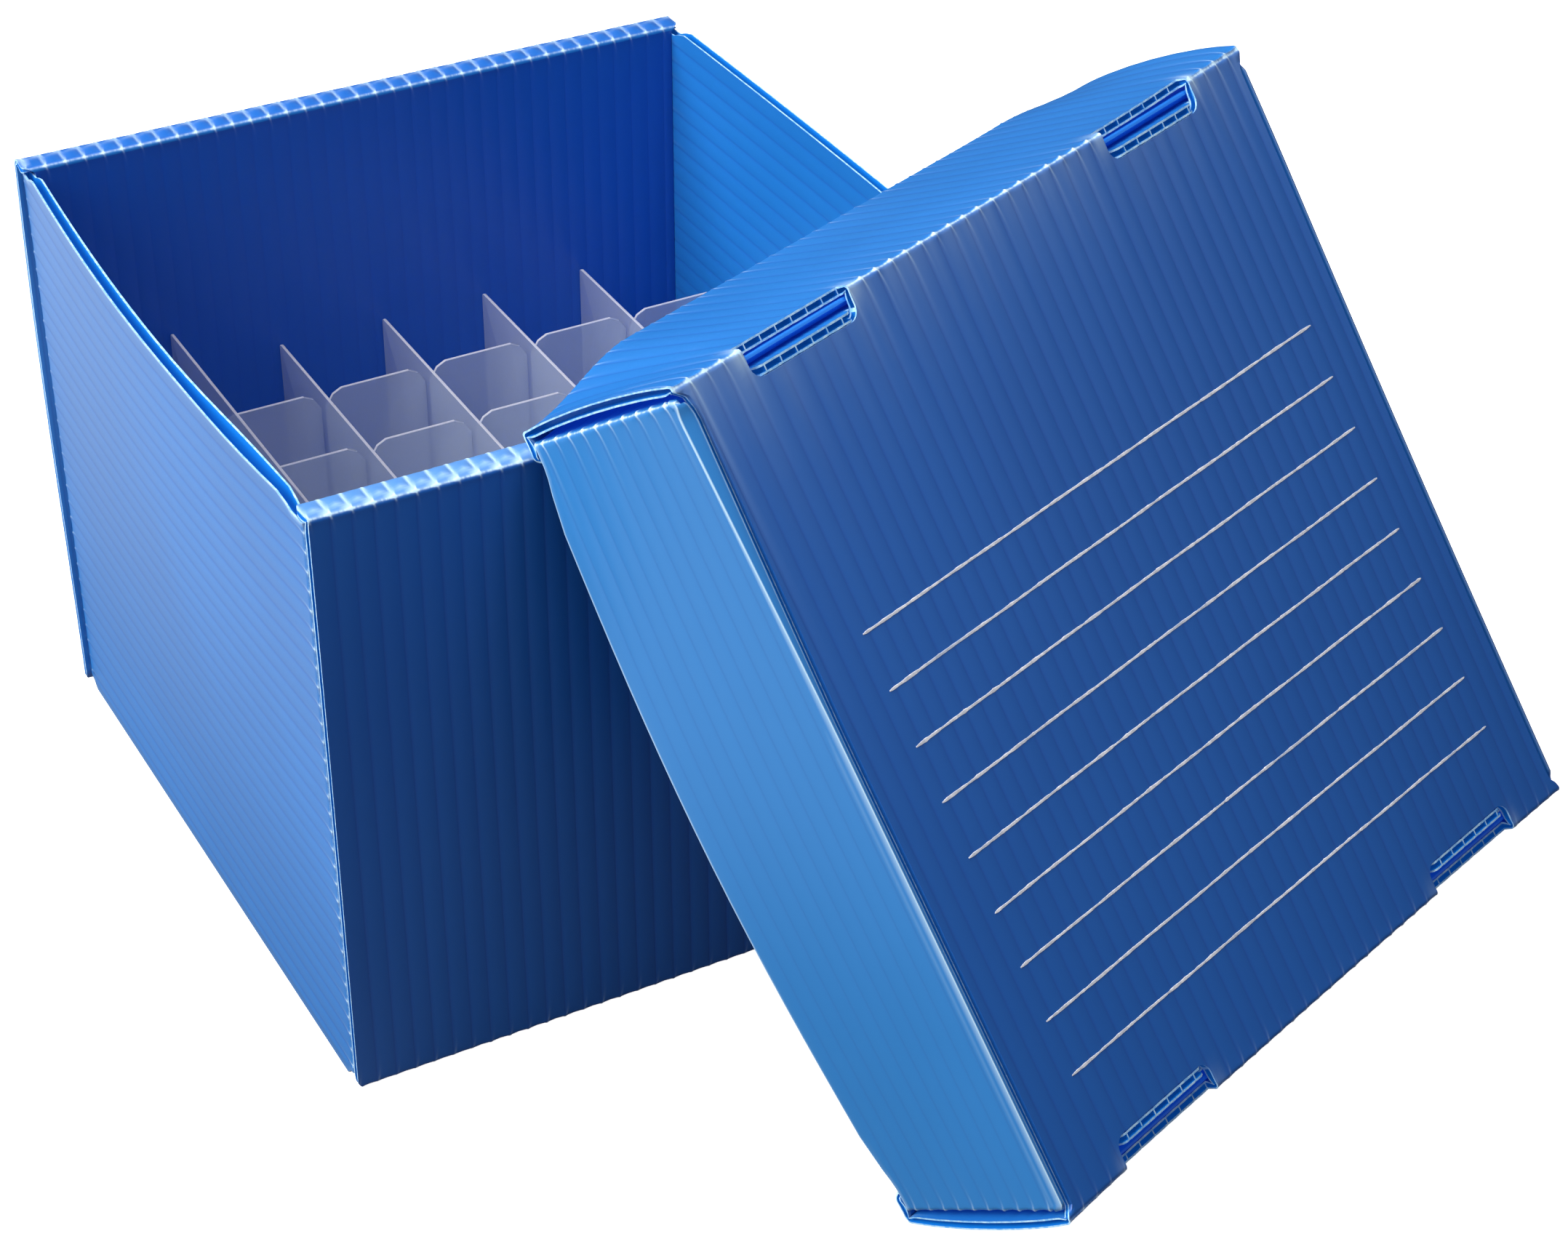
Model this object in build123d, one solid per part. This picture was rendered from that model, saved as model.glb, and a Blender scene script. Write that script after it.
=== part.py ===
from build123d import *
import math
import os

# Cryogenic storage box of fluted (twin-wall) polypropylene sheet: a tray base
# with roll-over end walls, a lift-off lid of the same construction, and an
# egg-crate divider of plain strips that makes 36 cells.
# Units are mm. The origin is the centre of the base's underside, +Z is up,
# +X runs along the base's front wall and -Y is the front. The lid leans
# against the top of the front wall.

# ---------------------------------------------------------------- dimensions
# fluted sheet
SHEET_T = 1.7          # overall thickness
SKIN_T = 0.28          # each outer skin
WEB_T = 0.24           # each rib between the skins
FLUTE_PITCH = 3.8      # target rib spacing, adjusted to fit each panel
RAW_EDGE_REACH = 0.8   # depth of the open cell at a raw edge, in rib spacings

# folded walls, in the base and the lid
ROLL_T = 5.6           # thickness of a roll-over wall: sheet, flap, sheet
FIT = 0.1              # gap between panels that aren't joined by a crease
FLAP_GAP = 0.25        # gap between a corner flap and the outer panel
NOTCH_GAP = 0.05       # gap between a rim strip and the side panel's notch
OVERRUN = 1.0          # how far a cutter passes the sheet it cuts

# base
BASE_W = 141.0         # outside, along X
BASE_D = 148.0         # outside, along Y
BASE_H = 123.5         # outside height
BASE_FLAP_L = 45.0     # length of a corner flap
BASE_TOP = BASE_H - SHEET_T     # underside of the rim strips

# lid
LID_W = 152.0          # outside, along the roll-over end walls
LID_D = 153.0          # outside, across them
LID_H = 41.6           # outside depth
LID_FLAP_L = 44.0
LID_CEIL = LID_H - SHEET_T      # underside of the top panel
SLOT_X = ((16.0, 42.0), (110.0, 136.0))   # the locking slots along an end crease
SLOT_DEPTH_TOP = 6.0   # slot's reach into the top panel from the end face
SLOT_DEPTH_WALL = 4.16  # slot's reach down the end wall from the top face
SLOT_R = 2.6           # slot's corner radius
SLOT_ARC_STEPS = 6     # straight steps in each rounded corner
TAB_SIDE_GAP = 1.4     # gap between a locking tab and each end of its slot

# lid's pose: the lower left corner of its open rim, and its own X and Z directions
LID_CORNER = (0.281, -151.265, 0.3)
LID_X_DIR = (0.94034, 0.33897, 0.02922)
LID_Z_DIR = (0.26855, -0.79223, 0.54795)

# divider
STRIP_T = 0.6          # strip thickness
STRIP_H = 70.6         # strip height
N_STRIPS = 5           # strips each way, for 6 by 6 cells
STRIP_END_GAP = 0.3    # gap between a strip's end and the wall
SEAT_GAP = 0.2         # gap between the seated strips and the floor
HALF_SLOT_W = 1.0      # width of a half slot
HALF_SLOT_EXTRA = 0.4  # how far each half slot passes the middle
LEAD_IN = 3.6          # width and depth of a cross strip's slot mouth and end chamfers
LEAD_KNEE_OUT = LEAD_IN * 0.45    # bend in the lead-in: distance from the slot's edge
LEAD_KNEE_DOWN = LEAD_IN * 0.28   # and depth below the strip's top
STRIP_1_RAISED = 8.6   # long strip 1 stands this far above its seat

# ---------------------------------------------------------------- helpers
X_AXIS, Y_AXIS, Z_AXIS = 0, 1, 2
SIDES = (-1, 1)        # the low and high ends of an axis

# outside faces of each tray in its own frame: (low, high) in x, then in y
BASE_PLAN = ((-BASE_W / 2, BASE_W / 2), (-BASE_D / 2, BASE_D / 2))
LID_PLAN = ((0.0, LID_W), (0.0, LID_D))


def inset(faces, side, near, deep):
    """The (low, high) span between two depths inward from one outside face."""
    low, high = faces
    return (low + near, low + deep) if side < 0 else (high - deep, high - near)


def ring(points):
    return Wire.make_polygon([Vector(*p) for p in points], close=True)


def panel(spans, flute, thick, open_lo=False, open_hi=False):
    """A rectangular panel of fluted sheet, filling its x, y and z spans.

    flute and thick are the axes that the channels run along and that the
    sheet is thin along. open_lo and open_hi say that the edge at that end of
    the third axis is a raw edge, cut lengthwise through a cell.
    """
    wide = 3 - flute - thick
    w0, w1 = spans[wide]
    t0, t1 = spans[thick]
    start, end = spans[flute]
    count = max(1, round((w1 - w0) / FLUTE_PITCH))
    pitch = (w1 - w0) / count
    reach = pitch * RAW_EDGE_REACH

    def at(w, t):
        p = [0.0, 0.0, 0.0]
        p[flute], p[wide], p[thick] = start, w, t
        return tuple(p)

    skin0, skin1 = t0 + SKIN_T, t1 - SKIN_T
    outline = [at(w0, t0), at(w1, t0)]
    if open_hi:
        back = w1 - reach
        outline += [at(w1, skin0), at(back, skin0), at(back, skin1), at(w1, skin1)]
    outline += [at(w1, t1), at(w0, t1)]
    if open_lo:
        back = w0 + reach
        outline += [at(w0, skin1), at(back, skin1), at(back, skin0), at(w0, skin0)]

    holes = []
    for k in range(1 if open_lo else 0, count - 1 if open_hi else count):
        a = w0 + k * pitch + WEB_T / 2
        b = w0 + (k + 1) * pitch - WEB_T / 2
        if k == 0:
            a = w0 + SKIN_T
        if k == count - 1:
            b = w1 - SKIN_T
        holes.append(ring([at(a, skin0), at(b, skin0), at(b, skin1), at(a, skin1)]))

    run = [0.0, 0.0, 0.0]
    run[flute] = end - start
    return Solid.extrude(Face(ring(outline), holes), Vector(*run))


def block(*spans):
    """A box filling its x, y and z spans."""
    size = [b - a for a, b in spans]
    middle = [(a + b) / 2 for a, b in spans]
    return Pos(*middle) * Box(*size)


def cut(shape, tools):
    for tool in tools:
        shape = shape - tool
    found = shape.solids()
    return found[0] if len(found) == 1 else Compound(children=list(found))


# ---------------------------------------------------------------- folded walls
# Shared by the base and the lid. side picks the low or high wall.
def outer_panel(plan, side, top):
    spans = (plan[0], inset(plan[1], side, 0, SHEET_T), (SHEET_T, top))
    return panel(spans, Z_AXIS, Y_AXIS, open_lo=True, open_hi=True)


def rim_strip(plan, side, z_span):
    spans = (plan[0], inset(plan[1], side, 0, ROLL_T), z_span)
    return panel(spans, Y_AXIS, Z_AXIS, open_lo=True, open_hi=True)


def inner_panel(plan, side, z_span):
    low, high = plan[0]
    spans = ((low + SHEET_T + FIT, high - SHEET_T - FIT),
             inset(plan[1], side, ROLL_T - SHEET_T, ROLL_T), z_span)
    return panel(spans, Z_AXIS, Y_AXIS, open_lo=True, open_hi=True)


def side_panel(plan, side, z_span, notch_z, rim_on_top):
    """A single-sheet wall, notched where the rim strips cross its ends."""
    x0, x1 = inset(plan[0], side, 0, SHEET_T)
    y0, y1 = plan[1]
    body = panel(((x0, x1), (y0 + SHEET_T, y1 - SHEET_T), z_span),
                 Y_AXIS, X_AXIS, open_lo=not rim_on_top, open_hi=rim_on_top)
    notches = [block((x0 - OVERRUN, x1 + OVERRUN),
                     inset(plan[1], end, -OVERRUN, ROLL_T + FIT), notch_z)
               for end in SIDES]
    return cut(body, notches)


def corner_flap(plan, x_side, y_side, length, top):
    spans = (inset(plan[0], x_side, SHEET_T, SHEET_T + length),
             inset(plan[1], y_side, SHEET_T + FLAP_GAP, 2 * SHEET_T + FLAP_GAP),
             (SHEET_T + FIT, top - FIT))
    return panel(spans, X_AXIS, Y_AXIS, open_hi=True)


# ---------------------------------------------------------------- base
def build_base():
    pieces = {"base_floor": panel((*BASE_PLAN, (0, SHEET_T)), Y_AXIS, Z_AXIS)}
    ends = (("front", -1), ("back", 1))
    for end, y_side in ends:
        pieces[f"base_{end}_outer_panel"] = outer_panel(BASE_PLAN, y_side, BASE_TOP)
        pieces[f"base_{end}_rim_strip"] = rim_strip(BASE_PLAN, y_side, (BASE_TOP, BASE_H))
        pieces[f"base_{end}_inner_panel"] = inner_panel(
            BASE_PLAN, y_side, (SHEET_T + FIT, BASE_TOP))

    notch_z = (BASE_TOP - NOTCH_GAP, BASE_H + OVERRUN)
    for side, x_side in (("left", -1), ("right", 1)):
        pieces[f"base_{side}_side_panel"] = side_panel(
            BASE_PLAN, x_side, (SHEET_T, BASE_H), notch_z, rim_on_top=True)
        for end, y_side in ends:
            pieces[f"base_{end}_{side}_corner_flap"] = corner_flap(
                BASE_PLAN, x_side, y_side, BASE_FLAP_L, BASE_TOP)
    return pieces


# ---------------------------------------------------------------- divider
INSIDE_X = BASE_W / 2 - SHEET_T   # inside faces of the side panels
INSIDE_Y = BASE_D / 2 - ROLL_T    # inside faces of the inner panels
SEAT_Z = SHEET_T + SEAT_GAP
MID_Z = SEAT_Z + STRIP_H / 2
CELL_X = 2 * INSIDE_X / (N_STRIPS + 1)
CELL_Y = 2 * INSIDE_Y / (N_STRIPS + 1)
LONG_STRIP_X = [-INSIDE_X + CELL_X * (k + 1) for k in range(N_STRIPS)]
CROSS_STRIP_Y = [-INSIDE_Y + CELL_Y * (k + 1) for k in range(N_STRIPS)]


def strip(outline, thick_axis, centre):
    """A flat strip from an outline of (along, z) points."""
    face_at = centre - STRIP_T / 2
    if thick_axis == X_AXIS:
        points = [(face_at, along, z) for along, z in outline]
        run = Vector(STRIP_T, 0, 0)
    else:
        points = [(along, face_at, z) for along, z in outline]
        run = Vector(0, STRIP_T, 0)
    return Solid.extrude(Face(ring(points)), run)


def long_strip(x, lift):
    """Runs front to back, with half slots open at the bottom."""
    end = INSIDE_Y - STRIP_END_GAP
    z0, z1 = SEAT_Z + lift, SEAT_Z + STRIP_H + lift
    slot_top = MID_Z + lift + HALF_SLOT_EXTRA
    outline = [(-end, z1), (-end, z0)]
    for y in CROSS_STRIP_Y:
        a, b = y - HALF_SLOT_W / 2, y + HALF_SLOT_W / 2
        outline += [(a, z0), (a, slot_top), (b, slot_top), (b, z0)]
    outline += [(end, z0), (end, z1)]
    return strip(outline, X_AXIS, x)


def cross_strip(y):
    """Runs side to side, with half slots open at the top and wide lead-ins."""
    end = INSIDE_X - STRIP_END_GAP
    z0, z1 = SEAT_Z, SEAT_Z + STRIP_H
    lead_z, knee_z = z1 - LEAD_IN, z1 - LEAD_KNEE_DOWN
    slot_low = MID_Z - HALF_SLOT_EXTRA
    outline = [(-end, z0), (-end, lead_z), (-end + LEAD_IN, z1)]
    for x in LONG_STRIP_X:
        a, b = x - HALF_SLOT_W / 2, x + HALF_SLOT_W / 2
        outline += [(a - LEAD_IN, z1), (a - LEAD_KNEE_OUT, knee_z), (a, lead_z),
                    (a, slot_low), (b, slot_low),
                    (b, lead_z), (b + LEAD_KNEE_OUT, knee_z), (b + LEAD_IN, z1)]
    outline += [(end - LEAD_IN, z1), (end, lead_z), (end, z0)]
    return strip(outline, Y_AXIS, y)


def build_divider():
    pieces = {}
    for k, x in enumerate(LONG_STRIP_X):
        lift = STRIP_1_RAISED if k == 0 else 0.0
        pieces[f"divider_long_strip_{k + 1}"] = long_strip(x, lift)
    for k, y in enumerate(CROSS_STRIP_Y):
        pieces[f"divider_cross_strip_{k + 1}"] = cross_strip(y)
    return pieces


# ---------------------------------------------------------------- lid
# Built in its own frame: x along the end walls, y across them, z = 0 at the
# open rim and z = LID_H at the outer face of the top panel.
def slot_cutter(slot, depth, place, run):
    """A prism for one slot, with its two inner corners rounded.

    depth runs away from the crease. place turns (x, depth) into a point.
    """
    x0, x1 = slot
    outline = [(x0, -OVERRUN), (x1, -OVERRUN)]
    for centre_x, first_angle in ((x1 - SLOT_R, 0), (x0 + SLOT_R, 90)):
        for k in range(SLOT_ARC_STEPS + 1):
            angle = math.radians(first_angle + 90 / SLOT_ARC_STEPS * k)
            outline.append((centre_x + SLOT_R * math.cos(angle),
                            depth - SLOT_R + SLOT_R * math.sin(angle)))
    return Solid.extrude(Face(ring([place(x, v) for x, v in outline])), run)


def lid_top_panel():
    sheet = panel((*LID_PLAN, (LID_CEIL, LID_H)), Y_AXIS, Z_AXIS)
    start_z = LID_CEIL - OVERRUN
    run = Vector(0, 0, SHEET_T + 2 * OVERRUN)
    cutters = []
    for slot in SLOT_X:
        cutters.append(slot_cutter(
            slot, SLOT_DEPTH_TOP, lambda x, v: (x, v, start_z), run))
        cutters.append(slot_cutter(
            slot, SLOT_DEPTH_TOP, lambda x, v: (x, LID_D - v, start_z), run))
    return cut(sheet, cutters)


def lid_outer_panel(y_side):
    start_y = inset(LID_PLAN[1], y_side, 0, SHEET_T)[0] - OVERRUN
    run = Vector(0, SHEET_T + 2 * OVERRUN, 0)
    mouths = [slot_cutter(slot, SLOT_DEPTH_WALL - SHEET_T,
                          lambda x, v: (x, start_y, LID_CEIL - v), run)
              for slot in SLOT_X]
    return cut(outer_panel(LID_PLAN, y_side, LID_CEIL), mouths)


def lid_inner_panel(y_side):
    """Above the ceiling only the two locking tabs are left."""
    y0, y1 = inset(LID_PLAN[1], y_side, ROLL_T - SHEET_T, ROLL_T)
    starts = [-OVERRUN] + [x1 - TAB_SIDE_GAP for x0, x1 in SLOT_X]
    ends = [x0 + TAB_SIDE_GAP for x0, x1 in SLOT_X] + [LID_W + OVERRUN]
    trims = [block(x_span, (y0 - OVERRUN, y1 + OVERRUN), (LID_CEIL - FIT, LID_H + OVERRUN))
             for x_span in zip(starts, ends)]
    return cut(inner_panel(LID_PLAN, y_side, (SHEET_T, LID_H)), trims)


def build_lid():
    pieces = {"lid_top_panel": lid_top_panel()}
    ends = (("lower", -1), ("upper", 1))
    for end, y_side in ends:
        pieces[f"lid_{end}_outer_panel"] = lid_outer_panel(y_side)
        pieces[f"lid_{end}_rim_strip"] = rim_strip(LID_PLAN, y_side, (0, SHEET_T))
        pieces[f"lid_{end}_inner_panel"] = lid_inner_panel(y_side)

    notch_z = (-OVERRUN, SHEET_T + NOTCH_GAP)
    for side, x_side in (("left", -1), ("right", 1)):
        pieces[f"lid_{side}_side_panel"] = side_panel(
            LID_PLAN, x_side, (0, LID_CEIL), notch_z, rim_on_top=False)
        for end, y_side in ends:
            pieces[f"lid_{end}_{side}_corner_flap"] = corner_flap(
                LID_PLAN, x_side, y_side, LID_FLAP_L, LID_CEIL)

    pose = Location(Plane(origin=LID_CORNER, x_dir=LID_X_DIR, z_dir=LID_Z_DIR))
    return {name: pose * shape for name, shape in pieces.items()}


# ---------------------------------------------------------------- files
os.makedirs("parts", exist_ok=True)
for name, shape in {**build_base(), **build_divider(), **build_lid()}.items():
    export_step(shape, f"parts/{name}.step")
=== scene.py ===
import math
from types import SimpleNamespace

import bmesh
import bpy
import numpy as np
from mathutils import Matrix, Vector


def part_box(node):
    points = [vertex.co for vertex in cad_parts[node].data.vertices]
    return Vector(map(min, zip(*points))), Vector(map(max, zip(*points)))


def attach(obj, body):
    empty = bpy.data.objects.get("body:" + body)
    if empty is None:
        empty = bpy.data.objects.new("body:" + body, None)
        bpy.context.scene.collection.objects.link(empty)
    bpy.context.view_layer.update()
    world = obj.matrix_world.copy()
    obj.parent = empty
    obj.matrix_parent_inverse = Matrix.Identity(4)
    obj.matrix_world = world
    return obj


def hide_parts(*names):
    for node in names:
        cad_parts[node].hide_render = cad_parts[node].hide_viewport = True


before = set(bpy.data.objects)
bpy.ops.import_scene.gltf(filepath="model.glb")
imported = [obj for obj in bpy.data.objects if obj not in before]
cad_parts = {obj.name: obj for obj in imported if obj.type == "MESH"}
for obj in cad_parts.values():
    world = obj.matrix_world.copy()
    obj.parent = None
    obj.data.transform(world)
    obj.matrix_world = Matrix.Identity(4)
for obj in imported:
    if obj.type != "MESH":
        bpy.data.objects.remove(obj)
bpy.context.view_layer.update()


# ------------------------------------------------------------------ sizes from CAD
def box_mm(node):
    lo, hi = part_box(node)
    return np.array(lo) * 1000.0, np.array(hi) * 1000.0


def mesh_points(mesh):
    co = np.zeros(len(mesh.vertices) * 3, np.float32)
    mesh.vertices.foreach_get("co", co)
    return co.reshape(-1, 3).astype(float)


floor_lo, floor_hi = box_mm("base_floor")
HALF_X, HALF_Y = floor_hi[0], floor_hi[1]      # half the base's width and depth
SHEET = floor_hi[2] - floor_lo[2]              # sheet thickness
rim_lo, rim_hi = box_mm("base_front_rim_strip")
BASE_H = rim_hi[2]
RIM = rim_hi[1] - rim_lo[1]                    # width of the rolled-over rim

# the lid's axes in the world
LID_X = np.array((0.94034, 0.33897, 0.02922))
LID_Z = np.array((0.26855, -0.79223, 0.54795))
LID_X /= np.linalg.norm(LID_X)
LID_Z /= np.linalg.norm(LID_Z)
LID_Y = np.cross(LID_Z, LID_X)
cad_points = np.vstack([mesh_points(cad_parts[name].data) * 1000.0
                        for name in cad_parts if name.startswith("lid_")])
cad_local = np.stack([cad_points @ LID_X, cad_points @ LID_Y, cad_points @ LID_Z], 1)
lid_lo = cad_local.min(0)
LID_W, LID_D, LID_H = cad_local.max(0) - lid_lo
LID_ORIGIN = lid_lo[0] * LID_X + lid_lo[1] * LID_Y + lid_lo[2] * LID_Z
CEILING = LID_H - SHEET                        # inner face of the top panel

PITCH = 3.8                                    # nominal width of one channel
SKIN = 0.32                                    # skin thickness
WEB = 0.26                                     # rib thickness
GAP = 0.1                                      # clearance between touching sheets
FLAP_GAP = 0.25                                # clearance between a flap and its wall
FAR = 60.0                                     # "no crease near" distance

# straights of a folded sheet; A is the base's front or the lid's lower side,
# B is the base's back or the lid's upper side
INNER_A, RIM_A, WALL_A, PANEL, WALL_B, RIM_B, INNER_B = range(7)
# creases of a folded sheet that bound the panel
PANEL_CREASE_A, PANEL_CREASE_B = 2, 3

# face classes, stored in the "kind" map; some carry painted light: the inner and shaded classes a
# painted shade, the paler class a painted sheen, and flaps, channels and cut faces a painted glow
PLAIN, CHANNEL, CUT, FLAP, INNER, SHADED, PAINTED_SHEEN = 0.0, 1.0, 2.0, 0.5, 0.25, -0.5, -1.0


# ------------------------------------------------------------------ shaping functions
def smooth(a, b, x):
    t = np.clip((x - a) / (b - a), 0, 1)
    return t * t * (3 - 2 * t)


def bell(x, width):
    return np.exp(-(x / width) ** 2)


def decay(x, width):
    return np.exp(-x / width)


def hump(x):
    """Zero at 0 and 1, one halfway."""
    return np.sin(np.pi * np.clip(x, 0, 1))


def hash01(k, seed):
    x = np.sin(np.asarray(k, float) * 12.9898 + seed * 78.233) * 43758.5453
    return x - np.floor(x)


# ------------------------------------------------------------------ path of a sheet
class Path:
    """Samples along the outer face of a sheet that turns square corners.

    corners are the corner points of the outer face, in the plane across the
    creases. outward (1 or -1) picks the side that the face looks to.
    """

    RADIUS = 0.9                                   # bend radius at a crease
    STEP = 7.0                                     # widest sample spacing
    ARC = 6                                        # samples round a crease
    BY_CREASE = (0.35, 0.8, 1.4, 2.3, 3.6, 5.5, 8.2)
    BY_END = (0.8, 2.2)

    def __init__(self, corners, outward):
        corners = [np.array(c, float) for c in corners]
        last = len(corners) - 2
        samples = []                               # (position, normal, along, run, frac)
        along = 0.0
        crease_at = []
        for k in range(last + 1):
            a, b = corners[k], corners[k + 1]
            length = np.linalg.norm(b - a)
            t = (b - a) / length
            normal = outward * np.array((t[1], -t[0]))
            start = self.RADIUS if k > 0 else 0.0
            end = self.RADIUS if k < last else 0.0
            run = length - start - end
            offsets = self.offsets(run, k == 0, k == last)
            for o in offsets[0 if k == 0 else 1:]:
                samples.append((a + t * (start + o), normal, along + o, k, o / run))
            along += run
            if k == last:
                break
            t2 = corners[k + 2] - b
            t2 = t2 / np.linalg.norm(t2)
            normal2 = outward * np.array((t2[1], -t2[0]))
            centre = b - t * self.RADIUS - normal * self.RADIUS
            arc_length = self.RADIUS * math.pi / 2
            crease_at.append(along + arc_length / 2)
            for i in range(1, self.ARC + 1):
                angle = math.pi / 2 * i / self.ARC
                d = normal * math.cos(angle) + normal2 * math.sin(angle)
                before = i <= self.ARC / 2
                samples.append((centre + d * self.RADIUS, d, along + arc_length * i / self.ARC,
                                k if before else k + 1, 1.0 if before else 0.0))
            along += arc_length
        columns = [np.array(column) for column in zip(*samples)]
        self.pos, self.normal, self.along, self.run, self.frac = columns
        self.crease_at = np.array(crease_at)
        self.crease = np.abs(self.along[:, None] - self.crease_at[None]).argmin(1)
        self.from_crease = self.along - self.crease_at[self.crease]

    def offsets(self, run, is_first, is_last):
        """Sample places along one straight, closer together near its ends."""
        if run < 8:
            return list(np.linspace(0, run, 8))
        marks = {0.0, run}
        marks |= {o for o in (self.BY_END if is_first else self.BY_CREASE) if o < run / 2}
        marks |= {run - o for o in (self.BY_END if is_last else self.BY_CREASE) if o < run / 2}
        filled = [0.0]
        for o in sorted(marks)[1:]:
            for left in range(math.ceil((o - filled[-1]) / self.STEP), 1, -1):
                filled.append(filled[-1] + (o - filled[-1]) / left)
            filled.append(o)
        return filled

    def per_run(self, values, blend=1.3):
        """A value for each straight, blended smoothly over each crease."""
        out = np.array([values[k] for k in self.run], float)
        for c, at in enumerate(self.crease_at):
            t = smooth(-blend, blend, self.along - at)
            m = np.abs(self.along - at) <= blend
            out[m] = (values[c] * (1 - t) + values[c + 1] * t)[m]
        return out

    def per_crease(self, values):
        return np.array([values[k] for k in self.crease], float)


# ------------------------------------------------------------------ fluted sheet
FRACS = np.array([0.0, 0.13, 0.5, 0.87])       # skin columns within one cell
# section of a lengthwise fold, from the outer skin round to the inner one:
# in from the edge, the same per mm of chamfer, depth, depth per mm of chamfer, whitening
FOLD = np.array([
    (0.42, 0.80, 0.00, 0.00, 0.45),
    (0.20, 0.78, 0.07, 0.00, 1.00),
    (0.12, 0.72, 0.18, 0.05, 0.00),
    (0.03, 0.06, 0.42, 0.80, 0.00),
    (0.00, 0.00, 0.58, 0.85, 0.45),
    (0.24, 0.00, 0.84, 0.85, 0.00),
    (0.75, 0.00, 1.02, 0.85, 0.00),
])
FOLD_SKIN = 1.75                               # where the skins stop short of a fold
FOLD_HOLE = 2.3                                # where the end channel stops short


class Sheet:
    """A hollow fluted sheet swept along a Path, with its channels along the path.

    v runs across the channels, from v_lo to v_hi. fold names the edge ("lo" or
    "hi") that is closed by a lengthwise fold; other edges show an open channel.
    The arrays hold one value per path sample; the functions take (v, path).
    """

    def __init__(self, path, v_lo, v_hi, place, fold=None):
        self.path, self.place, self.fold = path, place, fold    # place(a, b, v) -> xyz
        self.v_lo, self.v_hi = v_lo, v_hi
        self.cells = round((v_hi - v_lo) / PITCH)
        self.pitch = (v_hi - v_lo) / self.cells
        rows = len(path.along)
        zeros = np.zeros(rows)
        self.lo = np.full(rows, float(v_lo))       # the sheet's own edges
        self.hi = np.full(rows, float(v_hi))
        self.hollow_lo = self.hollow_hi = np.full(rows, 0.8 * self.pitch)
        self.pinch = np.ones(rows)                 # share of the full thickness
        self.chamfer = zeros                       # crushed width along the fold
        self.fold_white = zeros
        self.pillow = zeros                        # bulge of each cell
        self.scallop = zeros                       # puckering beside the creases
        self.strength = zeros                      # stress whitening
        self.lip = zeros                           # dropped edge beside a fold
        self.kind = zeros
        self.strength_at = lambda v, path: 1.0
        self.push = lambda v, path: 0.0            # outward shift of the whole sheet
        self.gape = lambda v, path: 0.0            # extra gap between the skins
        self.white = lambda v, path: 0.0
        self.white_inside = lambda v, path: 0.0

    def stretch_ends(self, nominal):
        """Skin columns on every row; the end cells reach to the sheet's own edge."""
        v = np.repeat(nominal[None], len(self.lo), 0)
        inner_lo, inner_hi = self.v_lo + self.pitch, self.v_hi - self.pitch
        first = nominal < inner_lo - 1e-9
        scale = (inner_lo - self.lo) / self.pitch
        v[:, first] = inner_lo - (inner_lo - nominal[first])[None] * scale[:, None]
        last = nominal > inner_hi + 1e-9
        scale = (self.hi - inner_hi) / self.pitch
        v[:, last] = inner_hi + (nominal[last] - inner_hi)[None] * scale[:, None]
        return v

    def relief(self, frac, cell_pos, rib):
        """Height of the outer skin: sunk at the ribs and puckered at the creases."""
        from_crease = self.path.from_crease[:, None]
        from_rib = np.minimum(frac, 1 - frac) * self.pitch
        mid = np.sin(np.pi * frac)[None] ** 2
        vary = (0.7 + 0.6 * hash01(np.floor(cell_pos + 0.5), 3.1))[None]
        pucker = (0.22 * bell(from_rib, 0.5)[None] * bell(from_crease, 0.85)
                  - 0.11 * (1 - bell(from_rib, 0.8))[None] * bell(from_crease, 0.8)
                  + 0.10 * rib * decay(np.abs(from_crease), 2.6))
        edge = np.zeros(len(frac))
        edge[[0, -1]] = -0.5
        edge[[1, -2]] = 0.07
        return (-0.05 * rib + 0.03 * mid + self.scallop[:, None] * vary * pucker
                + self.pillow[:, None] * mid ** 0.6 * vary + self.lip[:, None] * edge[None])

    def channel_v(self):
        """Channel corners across the sheet: outer lo, outer hi, inner hi, inner lo."""
        k = np.arange(self.cells)
        rows = len(self.lo)
        a = np.repeat((self.v_lo + k * self.pitch + WEB / 2)[None], rows, 0)
        b = np.repeat((self.v_lo + (k + 1) * self.pitch - WEB / 2)[None], rows, 0)
        if self.fold == "lo":
            a[:, 0] = np.minimum(np.maximum(self.lo + FOLD_HOLE, a[:, 0]), b[:, 0] - 0.1)
        else:
            a[:, 0] = self.lo
            b[:, 0] = np.minimum(self.lo + self.hollow_lo, b[:, 0])
            b[:, 0] = np.maximum(b[:, 0], self.lo + 0.05)
        if self.fold == "hi":
            b[:, -1] = np.maximum(np.minimum(self.hi - FOLD_HOLE, b[:, -1]), a[:, -1] + 0.1)
        else:
            b[:, -1] = self.hi
            a[:, -1] = np.maximum(self.hi - self.hollow_hi, a[:, -1])
            a[:, -1] = np.minimum(a[:, -1], self.hi - 0.05)
        return np.stack([a, b, b, a], 2).reshape(rows, -1)

    def channel_depth(self, v, thick):
        """Depth of the channel corners below the outer face."""
        skin = SKIN * self.pinch[:, None]
        shape = (len(v), self.cells, 4)
        push = (self.push(v, self.path) + np.zeros_like(v)).reshape(shape)
        gape = (self.gape(v, self.path) + np.zeros_like(v)).reshape(shape)
        top = np.repeat(skin, self.cells, 1) + 0.02
        bottom = np.repeat(thick - skin, self.cells, 1) - 0.05
        depth = np.stack([top, top, bottom, bottom], 2) - push
        depth = depth + np.array([-0.5, -0.5, 0.5, 0.5])[None, None] * gape
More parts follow.
